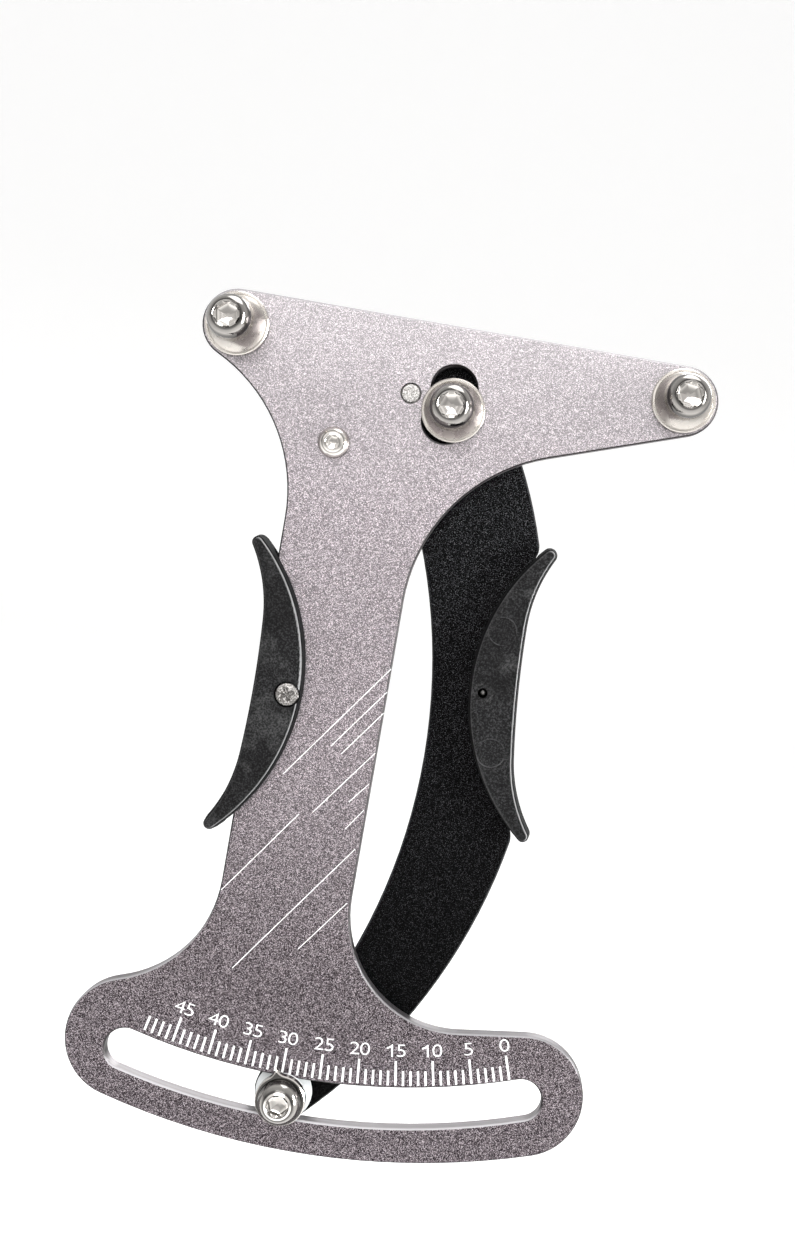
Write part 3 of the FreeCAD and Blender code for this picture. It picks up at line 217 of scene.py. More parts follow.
class Surface(Tree):
    """A material, with calls for the patterns that its colour is made of."""

    def __init__(self, name, **values):
        self.material = bpy.data.materials.new(name)
        self.material.use_nodes = True
        super().__init__(self.material.node_tree, "Object")
        self.shader = self.tree.nodes["Principled BSDF"]
        set_inputs(self.shader, values)

    def to(self, source, name):
        """Joins an output to one of the shader's own inputs."""
        self.join(source, self.shader.inputs[name])

    def noise(self, scale, detail=2.0, roughness=0.5, at=None):
        """Soft noise, at the surface's own place or at a changed one."""
        node = self.add("TexNoise", Scale=scale, Detail=detail, Roughness=roughness)
        self.join(at or self.place, node.inputs["Vector"])
        return node.outputs["Fac"]

    def cells(self, scale):
        """A random value for each small grain."""
        node = self.add("TexVoronoi", Scale=scale)
        self.join(self.place, node.inputs["Vector"])
        split = self.add("SeparateColor")
        self.join(node.outputs["Color"], split.inputs["Color"])
        return split.outputs["Red"]

    def between(self, axis, low, high):
        """The share of the way along an axis from low to high."""
        return self.span(self.along(axis), low * MM, high * MM)

    def moved(self, location, scale):
        """The place, scaled and then moved."""
        node = self.add("Mapping", Location=location, Scale=scale)
        self.join(self.place, node.inputs["Vector"])
        return node.outputs["Vector"]

    def layered(self, factor):
        """The place stretched along Y, which turns noise into thin layers."""
        return self.moved((0, 0, 0), (1, factor, 1))

    def ring(self, middle, radius, width):
        """A broken circle about a point (x, z), seen along Y."""
        x, z = middle
        away = self.vector("LENGTH", self.moved((-x * MM, 0, -z * MM), (1, 0, 1)))
        across = self.span(away, (radius - width) * MM, (radius + width) * MM)
        gaps = self.ramp(self.noise(420, detail=3), RING_GAPS)
        return self.times(self.ramp(across, RING_LINE), gaps)

    def facing(self, direction, low, high):
        """How far the surface turns towards a direction, 0 at low and 1 at high."""
        return self.span(self.vector("DOT_PRODUCT", self.normal, direction), low, high)

    def front_to_back(self):
        """0 where the surface faces the front, 0.5 at its sides and 1 where it faces back."""
        return self.facing((0, 1, 0), -1, 1)

    def bump(self, source, strength, depth):
        """Raises the surface by a value."""
        node = self.add("Bump", Strength=strength, Distance=depth * MM)
        self.join(source, node.inputs["Height"])
        self.to(node.outputs["Normal"], "Normal")


# ---------------------------------------------------------------- materials

# The stops of each ramp run from a position to a colour or a grey level. Those of a face's
# grain start at its darkest grains, those by height at the plate's foot, and those by depth
# at its front.
PLATE_GRAIN = 6400
PLATE_FACE = [
    (0.0, (0.001, 0.001, 0.001)),
    (0.3, (0.033, 0.024, 0.029)),
    (0.7, (0.232, 0.196, 0.214)),
    (1.0, (0.810, 0.725, 0.765)),
]
# Painted light and shade by height: the grain's contrast and an added lift make the plate's
# faces lighter towards the top and darker towards the foot.
PAINTED_CONTRAST_BY_HEIGHT = [(0.0, 0.62), (0.2, 0.7), (0.5, 0.98), (0.75, 0.93), (1.0, 0.62)]
PAINTED_LIGHT_BY_HEIGHT = [
    (0.0, (0.004, 0.003, 0.004)),
    (0.22, (0.006, 0.005, 0.005)),
    (0.5, (0.110, 0.102, 0.105)),
    (0.75, (0.150, 0.141, 0.145)),
    (1.0, (0.232, 0.225, 0.228)),
]
EDGE_LAYERS = [(0.3, (0.21, 0.20, 0.205)), (0.7, (0.28, 0.268, 0.274))]
BEVEL_BY_DEPTH = [
    (0.05, (0.46, 0.45, 0.46)),
    (0.13, (0.34, 0.33, 0.34)),
    (0.15, (0.0, 0.0, 0.0)),
]
CUT_BY_DEPTH = [(0.004, 0.0), (0.008, 1.0), (0.99, 1.0), (0.996, 0.0)]
# Painted shade for edges that turn away from above, and painted light for undersides, as if lit
# from the floor below.
PAINTED_SHADE_ON_SIDES, PAINTED_LIGHT_ON_UNDERSIDES = (0.035, 0.032, 0.033), (0.17, 0.162, 0.165)
FACE_ROUGHNESS, EDGE_ROUGHNESS = 0.42, 0.5
PLATE_DRIFT = [(0.3, 0.94), (0.7, 1.0)]
# A direction, and how far an edge turns to it where its effect starts and where it is full.
INSTEP = ((0.6, 0, 0.8), 0.2, 0.7)
UPPER = ((-0.17, 0.0, 0.985), 0.2, 0.55)
UNDERSIDE = ((0.322, 0.0, -0.947), 0.86, 0.97)
INSTEP_LOW, INSTEP_HIGH, INSTEP_SHADE = -166.0, -162.0, 0.5


def plate_faces(m, grain):
    """A grey-mauve salt-and-pepper grain, with painted light that makes it lighter towards the
    plate's top and painted shade that darkens it towards its foot.
    """
    height = m.between("Z", PLATE_BOTTOM, PLATE_TOP)
    faces = m.times(m.ramp(grain, PLATE_FACE), m.ramp(height, PAINTED_CONTRAST_BY_HEIGHT))
    faces = m.mix(1.0, faces, m.ramp(height, PAINTED_LIGHT_BY_HEIGHT), "ADD")
    return m.times(faces, m.ramp(m.noise(60, detail=1), PLATE_DRIFT))


def plate_edges(m, depth):
    """Bare cut edges with a bright front bevel, painted shade that dims them at the instep and
    darkens those that face sideways or down, and painted light on undersides that face down.
    """
    layers = m.noise(30, detail=3, at=m.layered(60))
    edges = m.lighter(m.ramp(layers, EDGE_LAYERS), m.ramp(depth, BEVEL_BY_DEPTH))
    # Painted shade: the instep's edges that face up and right are dimmed.
    instep = m.times(m.facing(*INSTEP), m.between("Z", INSTEP_LOW, INSTEP_HIGH))
    edges = m.times(edges, m.ramp(instep, [(0.0, 1.0), (1.0, INSTEP_SHADE)]))
    # Painted shade on edges that face sideways or down, then painted light on undersides.
    edges = m.mix(m.facing(*UPPER), PAINTED_SHADE_ON_SIDES, edges)
    return m.mix(m.facing(*UNDERSIDE), edges, PAINTED_LIGHT_ON_UNDERSIDES)


def grey_plate():
    """Blasted and anodised faces and bare cut edges."""
    m = Surface("grey_plate", Metallic=0.85)
    grain = m.cells(PLATE_GRAIN)
    depth = m.between("Y", PLATE_FRONT, PLATE_BACK)
    cut = m.ramp(depth, CUT_BY_DEPTH)
    m.to(m.mix(cut, plate_faces(m, grain), plate_edges(m, depth)), "Base Color")
    m.to(m.ramp(cut, [(0.0, FACE_ROUGHNESS), (1.0, EDGE_ROUGHNESS)]), "Roughness")
    m.bump(grain, 0.2, 0.03)
    return m.material


LEVER_GRAIN = 8200
LEVER_FACE = [
    (0.0, (0.0006, 0.0006, 0.0007)),
    (0.5, (0.0016, 0.0016, 0.0018)),
    (0.85, (0.012, 0.012, 0.0128)),
    (1.0, (0.12, 0.12, 0.127)),
]
# Painted shade by height: the lever's faces darken towards its foot.
LEVER_PAINTED_SHADE_BY_HEIGHT = [(0.0, 0.14), (0.45, 0.45), (1.0, 1.0)]
LEVER_BEVEL_BY_DEPTH = [(0.004, 0.0), (0.01, 1.0), (0.13, 1.0), (0.15, 0.0)]
LEVER_BEVEL = (0.03, 0.03, 0.031)


def black_plate():
    """The black lever plate with fine light specks, painted shade that darkens it downwards, and
    a worn bevel.
    """
    m = Surface("black_plate", Roughness=0.45, Specular_IOR_Level=0.02)
    grain = m.cells(LEVER_GRAIN)
    height = m.between("Z", LEVER_BOTTOM, LEVER_TOP)
    faces = m.times(m.ramp(grain, LEVER_FACE), m.ramp(height, LEVER_PAINTED_SHADE_BY_HEIGHT))
    bevel = m.ramp(m.between("Y", LEVER_FRONT, LEVER_BACK), LEVER_BEVEL_BY_DEPTH)
    m.to(m.mix(bevel, faces, LEVER_BEVEL), "Base Color")
    m.bump(grain, 0.25, 0.03)
    return m.material


GRIP_FACE = [
    (0.4, (0.0004, 0.0004, 0.0005)),
    (0.5, (0.0055, 0.0056, 0.006)),
    (0.6, (0.036, 0.036, 0.037)),
]
GRIP_RUBBED = [(0.38, (0.006, 0.006, 0.006)), (0.62, (0.075, 0.075, 0.076))]
GRIP_CLOUDS = [(0.36, 0.45), (0.66, 1.0)]
GRIP_PATCHES = [(0.54, 0.0), (0.74, 0.8)]
GRIP_GLOSS = [(0.3, 0.34), (0.7, 0.5)]
# GRIP_WALL is painted shade that makes the grips' side walls near black; GRIP_WALL_ROUGHNESS
# makes them matte.
GRIP_WALL, GRIP_WALL_ROUGHNESS = (0.001, 0.001, 0.0012), (0.9, 0.9, 0.9)
SCUFF_RADIUS, SCUFF_WIDTH = 2.2, 1.0
# The mould marks are real; their rims are drawn as broken lines of painted highlight.
MOULD_MARKS = [(21.02, -55.85), (23.15, -85.17)]
MOULD_RADIUS, MOULD_WIDTH = 3.4, 0.42
MOULD_RIM_HIGHLIGHT = (0.085, 0.085, 0.087)
# Painted highlight along the grips' front rim, strongest where the rim faces right.
RIM_PAINTED_HIGHLIGHT = (0.19, 0.19, 0.193)
RIM_SIDE, RIM_SHARE = ((0.9, 0, 0.44), -0.1, 0.45), [(0.0, 0.1), (1.0, 1.0)]
# From the front face, 0, over the rim and the wall to the back face, 1.
RIM_BAND = [(0.008, 0.0), (0.03, 1.0), (0.09, 1.0), (0.12, 0.0)]
WALL_BAND = [(0.1, 0.0), (0.14, 1.0), (0.86, 1.0), (0.9, 0.0)]


def grip_plastic():
    """Satin black moulding, mottled, rubbed in patches, with mould marks whose rims are lines of
    painted highlight, a painted highlight on its right-facing front rim and painted shade on its
    side walls.
    """
    m = Surface("grip_plastic", IOR=1.5, Specular_IOR_Level=0.17)
    fine = m.noise(2300, detail=3, roughness=0.8)
    colour = m.times(m.ramp(fine, GRIP_FACE), m.ramp(m.noise(75, detail=4), GRIP_CLOUDS))
    patches = m.ramp(m.noise(120, detail=5, roughness=0.6), GRIP_PATCHES)
    worn = m.lighter(patches, m.ring(RIGHT_GRIP_SCREW, SCUFF_RADIUS, SCUFF_WIDTH))
    colour = m.mix(worn, colour, m.ramp(fine, GRIP_RUBBED))
    # Painted highlight lines on the mould marks' rims.
    for mark in MOULD_MARKS:
        colour = m.mix(m.ring(mark, MOULD_RADIUS, MOULD_WIDTH), colour, MOULD_RIM_HIGHLIGHT)
    turned_away = m.front_to_back()
    # Painted highlight on the rim.
    rim = m.times(m.ramp(turned_away, RIM_BAND), m.ramp(m.facing(*RIM_SIDE), RIM_SHARE))
    colour = m.mix(rim, colour, RIM_PAINTED_HIGHLIGHT)
    # Painted shade on the side walls.
    wall = m.ramp(turned_away, WALL_BAND)
    m.to(m.mix(wall, colour, GRIP_WALL), "Base Color")
    gloss = m.ramp(m.noise(180, detail=4), GRIP_GLOSS)
    m.to(m.mix(wall, gloss, GRIP_WALL_ROUGHNESS), "Roughness")
    m.bump(fine, 0.25, 0.04)
    return m.material


# Painted reflections of turned pieces: light and dark bands, each with a position, 0 where the
# surface faces the front and 0.5 at its sides, and the share of the metal's colour there, which
# paint highlights and dark reflections into the colour.
HEAD_PAINTED_REFLECTIONS = [
    (0.0, 0.66), (0.03, 0.66), (0.045, 1.0), (0.062, 1.0), (0.074, 0.1), (0.092, 0.1),
    (0.12, 0.3), (0.2, 0.42), (0.28, 0.14), (0.38, 0.06), (0.5, 0.28)]
SMALL_HEAD_PAINTED_REFLECTIONS = [
    (0.0, 0.72), (0.03, 0.72), (0.045, 1.0), (0.06, 1.0), (0.074, 0.3), (0.09, 0.45),
    (0.12, 0.8), (0.2, 0.85), (0.29, 0.6), (0.36, 0.22), (0.42, 0.1), (0.5, 0.3)]
FLANGE_PAINTED_REFLECTIONS = [
    (0.0, 1.0), (0.04, 1.0), (0.09, 0.75), (0.17, 1.0), (0.27, 0.85), (0.38, 0.68),
    (0.5, 0.65)]
POINTER_PAINTED_REFLECTIONS = [
    (0.0, 0.14), (0.03, 0.14), (0.07, 1.0), (0.2, 1.0), (0.3, 0.25), (0.5, 0.35)]
SMEAR = 0.86


def turned(name, colour, roughness, reflection_bands, rings=0.02):
    """Turned steel with fine rings, a slight smear, and painted highlights and dark reflections
    in bands where it curves away.
    """
    m = Surface(name, Metallic=1.0)
    smeared = tuple(value * SMEAR for value in colour)
    metal = m.ramp(m.noise(140, detail=3), [(0.3, smeared), (0.7, colour)])
    mirrored = [(1.0 - place, share) for place, share in reversed(reflection_bands[:-1])]
    # Painted highlights and reflections by how far the surface turns from the front.
    m.to(m.times(metal, m.ramp(m.front_to_back(), reflection_bands + mirrored)), "Base Color")
    polish = [(0.3, roughness * 0.75), (0.75, roughness * 1.5)]
    m.to(m.ramp(m.noise(260, detail=4), polish), "Roughness")
    m.bump(m.noise(40, detail=2, at=m.layered(120)), rings, 0.04)
    return m.material


def white_nylon():
    """Slightly clouded white plastic."""
    m = Surface("white_nylon", Roughness=0.4, IOR=1.5, Subsurface_Weight=0.15,
                Subsurface_Radius=(MM, MM, MM))
    clouds = [(0.3, (0.60, 0.62, 0.63)), (0.7, (0.70, 0.71, 0.71))]
    m.to(m.ramp(m.noise(150, detail=2), clouds), "Base Color")
    m.bump(m.noise(1200, detail=3), 0.1, 0.03)
    return m.material


def white_print():
    """White ink."""
    m = Surface("white_print", Roughness=0.55)
    patches = [(0.3, (0.84, 0.83, 0.83)), (0.6, (0.95, 0.95, 0.95))]
    m.to(m.ramp(m.noise(2500, detail=2), patches), "Base Color")
    return m.material


def blotches(m):
    """The uneven plating of the rough screws."""
    return m.noise(2600, detail=4, roughness=0.75)


def rough_screw(name, dark, middle, light):
    """Plated steel with a blotchy surface."""
    m = Surface(name, Metallic=0.6, Roughness=0.42)
    blotch = blotches(m)
    m.to(m.ramp(blotch, [(0.38, dark), (0.5, middle), (0.62, light)]), "Base Color")
    m.bump(blotch, 0.5, 0.08)
    return m.material


# Painted shade: the tip down in the grip's hole is made near black, and its middle keeps the
# plated colour as a painted highlight.
TIP_LOW, TIP_HIGH = 9.9, 17.5
CORE_RADIUS, CORE_WIDTH = 0.1, 1.1
PAINTED_SHADE_IN_HOLE = (0.004, 0.004, 0.004)
TIP_BRIGHT = [(0.38, (0.20, 0.19, 0.18)), (0.6, (0.85, 0.83, 0.80))]


def dark_tip():
    """A screw with its plated colour at its head, and its tip painted dark as shade in its hole,
    except a bright spot at the tip's middle that stands for its highlight.
    """
    m = Surface("pin_end", Metallic=0.7, Roughness=0.3)
    blotch = blotches(m)
    core = m.ring(RIGHT_GRIP_SCREW, CORE_RADIUS, CORE_WIDTH)
    behind = m.ramp(m.between("Y", TIP_LOW, TIP_HIGH), [(0.3, 0.0), (0.35, 1.0)])
    bright = m.lighter(core, behind)
    m.to(m.mix(bright, PAINTED_SHADE_IN_HOLE, m.ramp(blotch, TIP_BRIGHT)), "Base Color")
    m.bump(blotch, 0.4, 0.06)
    return m.material


BRIGHT_STEEL = (0.87, 0.83, 0.785)

GREY = grey_plate()
BLACK = black_plate()
GRIP = grip_plastic()
POINTER = turned("pointer_steel", (0.62, 0.59, 0.56), 0.2, POINTER_PAINTED_REFLECTIONS)
POLISHED = turned("polished_steel", (0.58, 0.545, 0.505), 0.24, FLANGE_PAINTED_REFLECTIONS)
SCREW = turned("bright_fasteners", BRIGHT_STEEL, 0.11, HEAD_PAINTED_REFLECTIONS, rings=0.0)
SMALL_SCREW = turned("small_head", BRIGHT_STEEL, 0.16, SMALL_HEAD_PAINTED_REFLECTIONS, rings=0.0)
TURNED = turned("turned_steel", (0.62, 0.61, 0.59), 0.25, FLANGE_PAINTED_REFLECTIONS)
WIRE = turned("spring_steel", (0.55, 0.54, 0.52), 0.28, FLANGE_PAINTED_REFLECTIONS)
NYLON = white_nylon()
PRINT = white_print()
ROUGH = rough_screw("rough_screw", (0.05, 0.045, 0.04), (0.20, 0.19, 0.18), (0.66, 0.64, 0.62))
PIVOT_END = rough_screw("pivot_end", (0.09, 0.085, 0.08), (0.40, 0.385, 0.37),
                        (0.88, 0.86, 0.84))
TIP_IN_PAINTED_SHADE = dark_tip()

# The look of each node; one that isn't named here is a bright fastener.
LOOKS = {
    "front_plate": GREY,
    "lever_plate": BLACK,
    "left_grip_front": GRIP,
    "left_grip_rear": GRIP,
    "right_grip_front": GRIP,
    "right_grip_rear": GRIP,
    "left_grip_screw": ROUGH,
    "right_grip_screw": ROUGH,
    "left_post": POLISHED,
    "right_post": POLISHED,
    "centre_post": POLISHED,
    "pivot_pin": POLISHED,
    "spring_anchor_standoff": TURNED,
    "lever_spring_post": TURNED,
    "return_spring": WIRE,
    "pointer": POINTER,
    "pointer_bush": NYLON,
    "pointer_glide_washer": NYLON,
    "pivot_spacer": NYLON,
}


def dress_nodes():
    """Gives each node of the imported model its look."""
    for name, node in nodes.items():
        node.data.materials.clear()
        node.data.materials.append(LOOKS.get(name, SCREW))


# ------------------------------------------------------------ printed marks


def new_piece(name, body, material, mesh):
    """A piece of the scene that rides on a body, with its look."""
    piece = bpy.data.objects.new(name, mesh)
    bpy.context.scene.collection.objects.link(piece)
    mesh.materials.clear()
    mesh.materials.append(material)
    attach(piece, body)
    return piece


# The ink's front and back, in front of the plate.
INK, INK_GAP = 0.03, 0.002
FIRST_ANGLE, UNIT_ANGLE, LAST_UNIT = 18.0, 0.63, 49
LABEL_UNITS = 5
TICK_OUTER, TICK_INNER, LONG_INNER = 165.9, 162.4, 160.0
PRINT_DRIFT, OUTER_DRIFT = 0.5, 0.75
TICK_WIDTH, STRIPE_WIDTH = 0.53, 0.18


def bar(mesh, start, finish, width):
    """A thin flat bar of ink on the plate's front; its ends (x, z) count from the pivot."""
    first, last = Vector((start[0], 0, start[1])), Vector((finish[0], 0, finish[1]))
    along = (last - first).normalized()
    side = Vector((-along.z, 0, along.x)) * (width / 2)
    faces = []
    for depth in (PLATE_FRONT - INK, PLATE_FRONT - INK_GAP):
        base = PIVOT + Vector((0, depth, 0))
        ring = [first + side, last + side, last - side, first - side]
        faces.append([mesh.verts.new((base + corner) * MM) for corner in ring])
    front, back = faces
    mesh.faces.new(front)
    mesh.faces.new(reversed(back))
    for index in range(4):
        after = (index + 1) % 4
        mesh.faces.new((front[after], front[index], back[index], back[after]))


def finish_mesh(name, mesh):
    """Turns a bmesh into mesh data with its faces outwards."""
    bmesh.ops.recalc_face_normals(mesh, faces=mesh.faces)
    data = bpy.data.meshes.new(name)
    mesh.to_mesh(data)
    mesh.free()
    return data


def unit_angle(unit):
    """Degrees from straight down to a unit of the scale."""
    return FIRST_ANGLE - UNIT_ANGLE * unit


def radial(angle, radius):
    """The point (x, z) at an angle from straight down and at a radius."""
    turn = math.radians(angle)
    return math.sin(turn) * radius, -math.cos(turn) * radius


def drift(unit):
    """The print runs slightly outwards towards its zero."""
    return PRINT_DRIFT * (1 - 2 * unit / LAST_UNIT)


def make_ticks():
    """The scale's bars, longer at every number."""
    mesh = bmesh.new()
    for unit in range(LAST_UNIT + 1):
        angle = unit_angle(unit)
        inner = (LONG_INNER if unit % LABEL_UNITS == 0 else TICK_INNER) + drift(unit)
        outer = TICK_OUTER + drift(unit) * OUTER_DRIFT
        bar(mesh, radial(angle, inner), radial(angle, outer), TICK_WIDTH)
    new_piece("scale_ticks", "frame", PRINT, finish_mesh("scale_ticks", mesh))


NUMBER_RADIUS, NUMBER_HEIGHT, NUMBER_WIDTH = 157.5, 2.95, 1.28
DIGIT_STEP, ONE_GAP = 2.48, 0.95
DIGIT_THIN, DIGIT_RESOLUTION, DIGIT_EXTRUDE = -0.014, 6, 0.001
# The outline of a 1, one unit high.
ONE = [(0.51, 0.0), (0.51, 1.0), (0.42, 1.0), (0.33, 0.90), (0.2, 0.82), (0.0, 0.755),
       (0.0, 0.63), (0.13, 0.66), (0.25, 0.71), (0.37, 0.79), (0.37, 0.0)]


def outlined_one():
    """A 1 with a flag and no foot, drawn from its outline."""
    curve = bpy.data.curves.new("digit", "CURVE")
    curve.dimensions = "2D"
    curve.fill_mode = "BOTH"
    outline = curve.splines.new("POLY")
    outline.points.add(len(ONE) - 1)
    for point, (x, y) in zip(outline.points, ONE):
        point.co = (x, y, 0, 1)
    outline.use_cyclic_u = True
    return curve


def font_digit(digit):
    """A digit in the plain font, slightly thinned."""
    curve = bpy.data.curves.new("digit", "FONT")
    curve.body = digit
    curve.offset = DIGIT_THIN
    curve.resolution_u = DIGIT_RESOLUTION
    return curve


def digit_mesh(digit):
    """A digit's mesh in mm, its ink centred on its origin, and its width."""
    curve = outlined_one() if digit == "1" else font_digit(digit)
    widen = 1.0 if digit == "1" else NUMBER_WIDTH
    curve.extrude = DIGIT_EXTRUDE
    drawn = bpy.data.objects.new("digit", curve)
    bpy.context.scene.collection.objects.link(drawn)
    bpy.context.view_layer.update()
    shape = bpy.data.meshes.new_from_object(
        drawn.evaluated_get(bpy.context.evaluated_depsgraph_get()))
    bpy.data.objects.remove(drawn)
    bpy.data.curves.remove(curve)
    xs = [v.co.x for v in shape.vertices]
    ys = [v.co.y for v in shape.vertices]
    grow = NUMBER_HEIGHT / (max(ys) - min(ys))
    for vertex in shape.vertices:
        vertex.co.x = (vertex.co.x - (min(xs) + max(xs)) / 2) * grow * widen
        vertex.co.y = (vertex.co.y - (min(ys) + max(ys)) / 2) * grow
    return shape, (max(xs) - min(xs)) * grow * widen


def digit_places(label, widths):
    """The middle of each digit along the number, counted from the number's own middle."""
    places = [0.0]
    if len(label) == 2:
        narrow = label[0] == "1"
        places.append((widths[0] + widths[1]) / 2 + ONE_GAP if narrow else DIGIT_STEP)
    left = -widths[0] / 2
    right = places[-1] + widths[-1] / 2
    return [place - (left + right) / 2 for place in places]


def make_numbers():
    """The scale's numbers, each upright along its own radius."""
    whole = bmesh.new()
    for number in range(0, LAST_UNIT, LABEL_UNITS):
        label = str(number)
        shapes, widths = zip(*(digit_mesh(digit) for digit in label))
        turn = unit_angle(number)
        angle = math.radians(turn)
        x, z = radial(turn, NUMBER_RADIUS + drift(number))
        across = Vector((math.cos(angle), 0, math.sin(angle)))
        upward = Vector((-math.sin(angle), 0, math.cos(angle)))
        for shape, place in zip(shapes, digit_places(label, widths)):
            for vertex in shape.vertices:
                depth = PLATE_FRONT - (INK if vertex.co.z > 0 else INK_GAP)
                spot = PIVOT + Vector((x, depth, z))
                spot += across * (vertex.co.x + place)
                spot += upward * vertex.co.y
                vertex.co = spot * MM
            whole.from_mesh(shape)
            bpy.data.meshes.remove(shape)
    new_piece("scale_numbers", "frame", PRINT,
              finish_mesh("scale_numbers", whole))


# The two ends (x, z) of each stripe on the stem, counted from the pivot.
STRIPES = [
    ((6.6, -66.0), (-14.6, -95.2)),
    ((6.6, -71.6), (-4.4, -86.6)),
    ((6.7, -76.7), (-1.7, -88.1)),
    ((6.3, -86.5), (-6.0, -103.0)),
    ((6.1, -94.1), (2.1, -99.1)),
    ((6.0, -100.4), (2.3, -105.7)),
    ((-9.2, -104.0), (-24.5, -125.2)),
    ((5.5, -110.0), (-18.7, -143.2)),
    ((5.8, -123.1), (-3.9, -136.0)),
]


def make_stripes():
    """The thin slanting stripes on the stem."""
    mesh = bmesh.new()
    for start, finish in STRIPES:
        bar(mesh, start, finish, STRIPE_WIDTH)
    new_piece("stem_stripes", "frame", PRINT, finish_mesh("stem_stripes", mesh))


# ------------------------------------------------------------------- spring


def make_spring():
    """The CAD spring's own mesh, as a smooth-shaded piece on no body, in place of the hidden
    node.
    """
    source = nodes["return_spring"]
    piece = bpy.data.objects.new("stretching_spring", source.data.copy())
    bpy.context.scene.collection.objects.link(piece)
    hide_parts("return_spring")
    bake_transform(piece)
    for face in piece.data.polygons:
        face.use_smooth = True


# ---------------------------------------------------------------- fasteners

SEGMENTS = 96
SHARP_ANGLE = 32
MERGE_METRES = 1e-7
IMAGE_UP = 90 + ROLL


def spin(mesh, x, z, rings):
    """Rings of points about an axis along Y, each with a radius and a depth.

    A depth or radius that changes round the axis is given as a function of the angle."""
    loops = []
    for radius, depth in rings:
        loop = []
        for index in range(SEGMENTS):
            angle = math.tau * index / SEGMENTS
            reach = radius(angle) if callable(radius) else radius
            y = depth(angle) if callable(depth) else depth
            place = Vector((x + reach * math.cos(angle), y, z + reach * math.sin(angle)))
            loop.append(mesh.verts.new(place * MM))
        loops.append(loop)
    for first, second in zip(loops, loops[1:]):
        for index in range(SEGMENTS):
            after = (index + 1) % SEGMENTS
            mesh.faces.new((first[index], first[after], second[after], second[index]))


def finish_spun(name, mesh):
    """Closes the ends, smooths the curves and keeps the corners crisp."""
    bmesh.ops.remove_doubles(mesh, verts=mesh.verts, dist=MERGE_METRES)
    data = finish_mesh(name, mesh)
    for face in data.polygons:
        face.use_smooth = True
    data.set_sharp_from_angle(angle=math.radians(SHARP_ANGLE))
    return data


def hexagon(flats, corner):
    """Reach of a hexagon against the angle, with a corner so many degrees round."""
    def reach(angle):
        return flats / 2 / math.cos((angle - math.radians(corner)) % (math.pi / 3) - math.pi / 6)
    return reach


ARC_STEPS = 14


def arc(first, last, radius):
    """Points on the bulging arc between two (reach, depth) points."""
    start, end = Vector(first), Vector(last)
    middle, chord = (start + end) / 2, end - start
    normal = Vector((-chord.y, chord.x)).normalized()
    centre = middle + normal * math.sqrt(radius ** 2 - (chord.length / 2) ** 2)
    spread = math.asin(chord.length / 2 / radius)
    base = (middle - centre).normalized()
    points = []
    for step in range(ARC_STEPS + 1):
        turn = -spread + 2 * spread * step / ARC_STEPS
        points.append(tuple(centre + radius * Vector((
            base.x * math.cos(turn) - base.y * math.sin(turn),
            base.x * math.sin(turn) + base.y * math.cos(turn)))))
    if (Vector(points[0]) - start).length > (Vector(points[-1]) - start).length:
        points.reverse()
    return points


# Radii of a button screw's head, crown, socket mouth and shank, the height of its head and
# edge, and the width and depth of its hexagon socket.
M6 = {"head": 5.2, "height": 3.3, "crown": 4.2, "edge": 0.6, "mouth": 3.3,
      "flats": 4.9, "socket": 1.7, "shank": 3.0}
M6_SMALL_SOCKET = dict(M6, mouth=2.8, flats=4.2)
M4 = {"head": 3.8, "height": 2.2, "crown": 3.0, "edge": 0.4, "mouth": 1.8,
      "flats": 2.5, "socket": 1.0, "shank": 2.0}

# The mouth's bevel is a share of its radius. Its profile, and where the hexagon's walls stop,
# are in bevels inwards and down, and the drilled floor deepens by a share of the flats.
MOUTH_BEVEL = 0.09
MOUTH_PROFILE = [(0.8, 0.9), (0.3, 0.2)]
WALL_STOP = 1.6
DRILL_DEPTH = 0.26
# One turn of a thread, in shares of the shank's radius and of the pitch, and the shank's end,
# in shares of its radius and mm back from its tip.
THREAD = [(1.0, 0.0), (1.0, 0.15), (0.86, 0.55), (1.0, 0.95)]
PITCHES_PER_RADIUS = 3
END_BEVEL = 0.4
SHANK_END = [(0.99, END_BEVEL), (0.82, 0.0), (0.0, 0.0)]
RIM = 0.3


def socket_rings(top, size, corner):
    """A hexagon socket with a drilled floor and a rounded mouth, from its middle outwards."""
    mouth, bevel = size["mouth"], size["mouth"] * MOUTH_BEVEL
    socket = hexagon(size["flats"], IMAGE_UP + corner)
    floor = top + bevel + size["socket"]
    rings = [
        (0, floor + size["flats"] * DRILL_DEPTH),
        (socket, floor),
        (socket, top + bevel * WALL_STOP),
    ]
    return rings + [(mouth - bevel * inwards, top + bevel * down)
                    for inwards, down in MOUTH_PROFILE]


def thread_rings(shank, seat, end):
    """Grooves round the shank, back from its bevelled end."""
    pitch = shank / PITCHES_PER_RADIUS
    turns = int((end - seat) / pitch) - 1
    rings = []
    for turn in range(turns):
        start = end - pitch * (turns - turn) - END_BEVEL
        rings += [(shank * share, start + pitch * part) for share, part in THREAD]
    return rings + [(shank * share, end - back) for share, back in SHANK_END]


def button_screw(mesh, place, seat, end, size, corner):
    """A button-head screw with a hexagon socket, its head resting on a seat."""
    top = seat - size["height"]
    head, edge = size["head"], size["edge"]
    rings = socket_rings(top, size, corner)
    rings += arc((size["mouth"], top), (head, seat - edge), size["crown"])
    rings += [
        (head, seat - edge * RIM),
        (head - edge * RIM, seat),
        (size["shank"], seat),
    ]
    spin(mesh, *place, rings + thread_rings(size["shank"], seat, end))


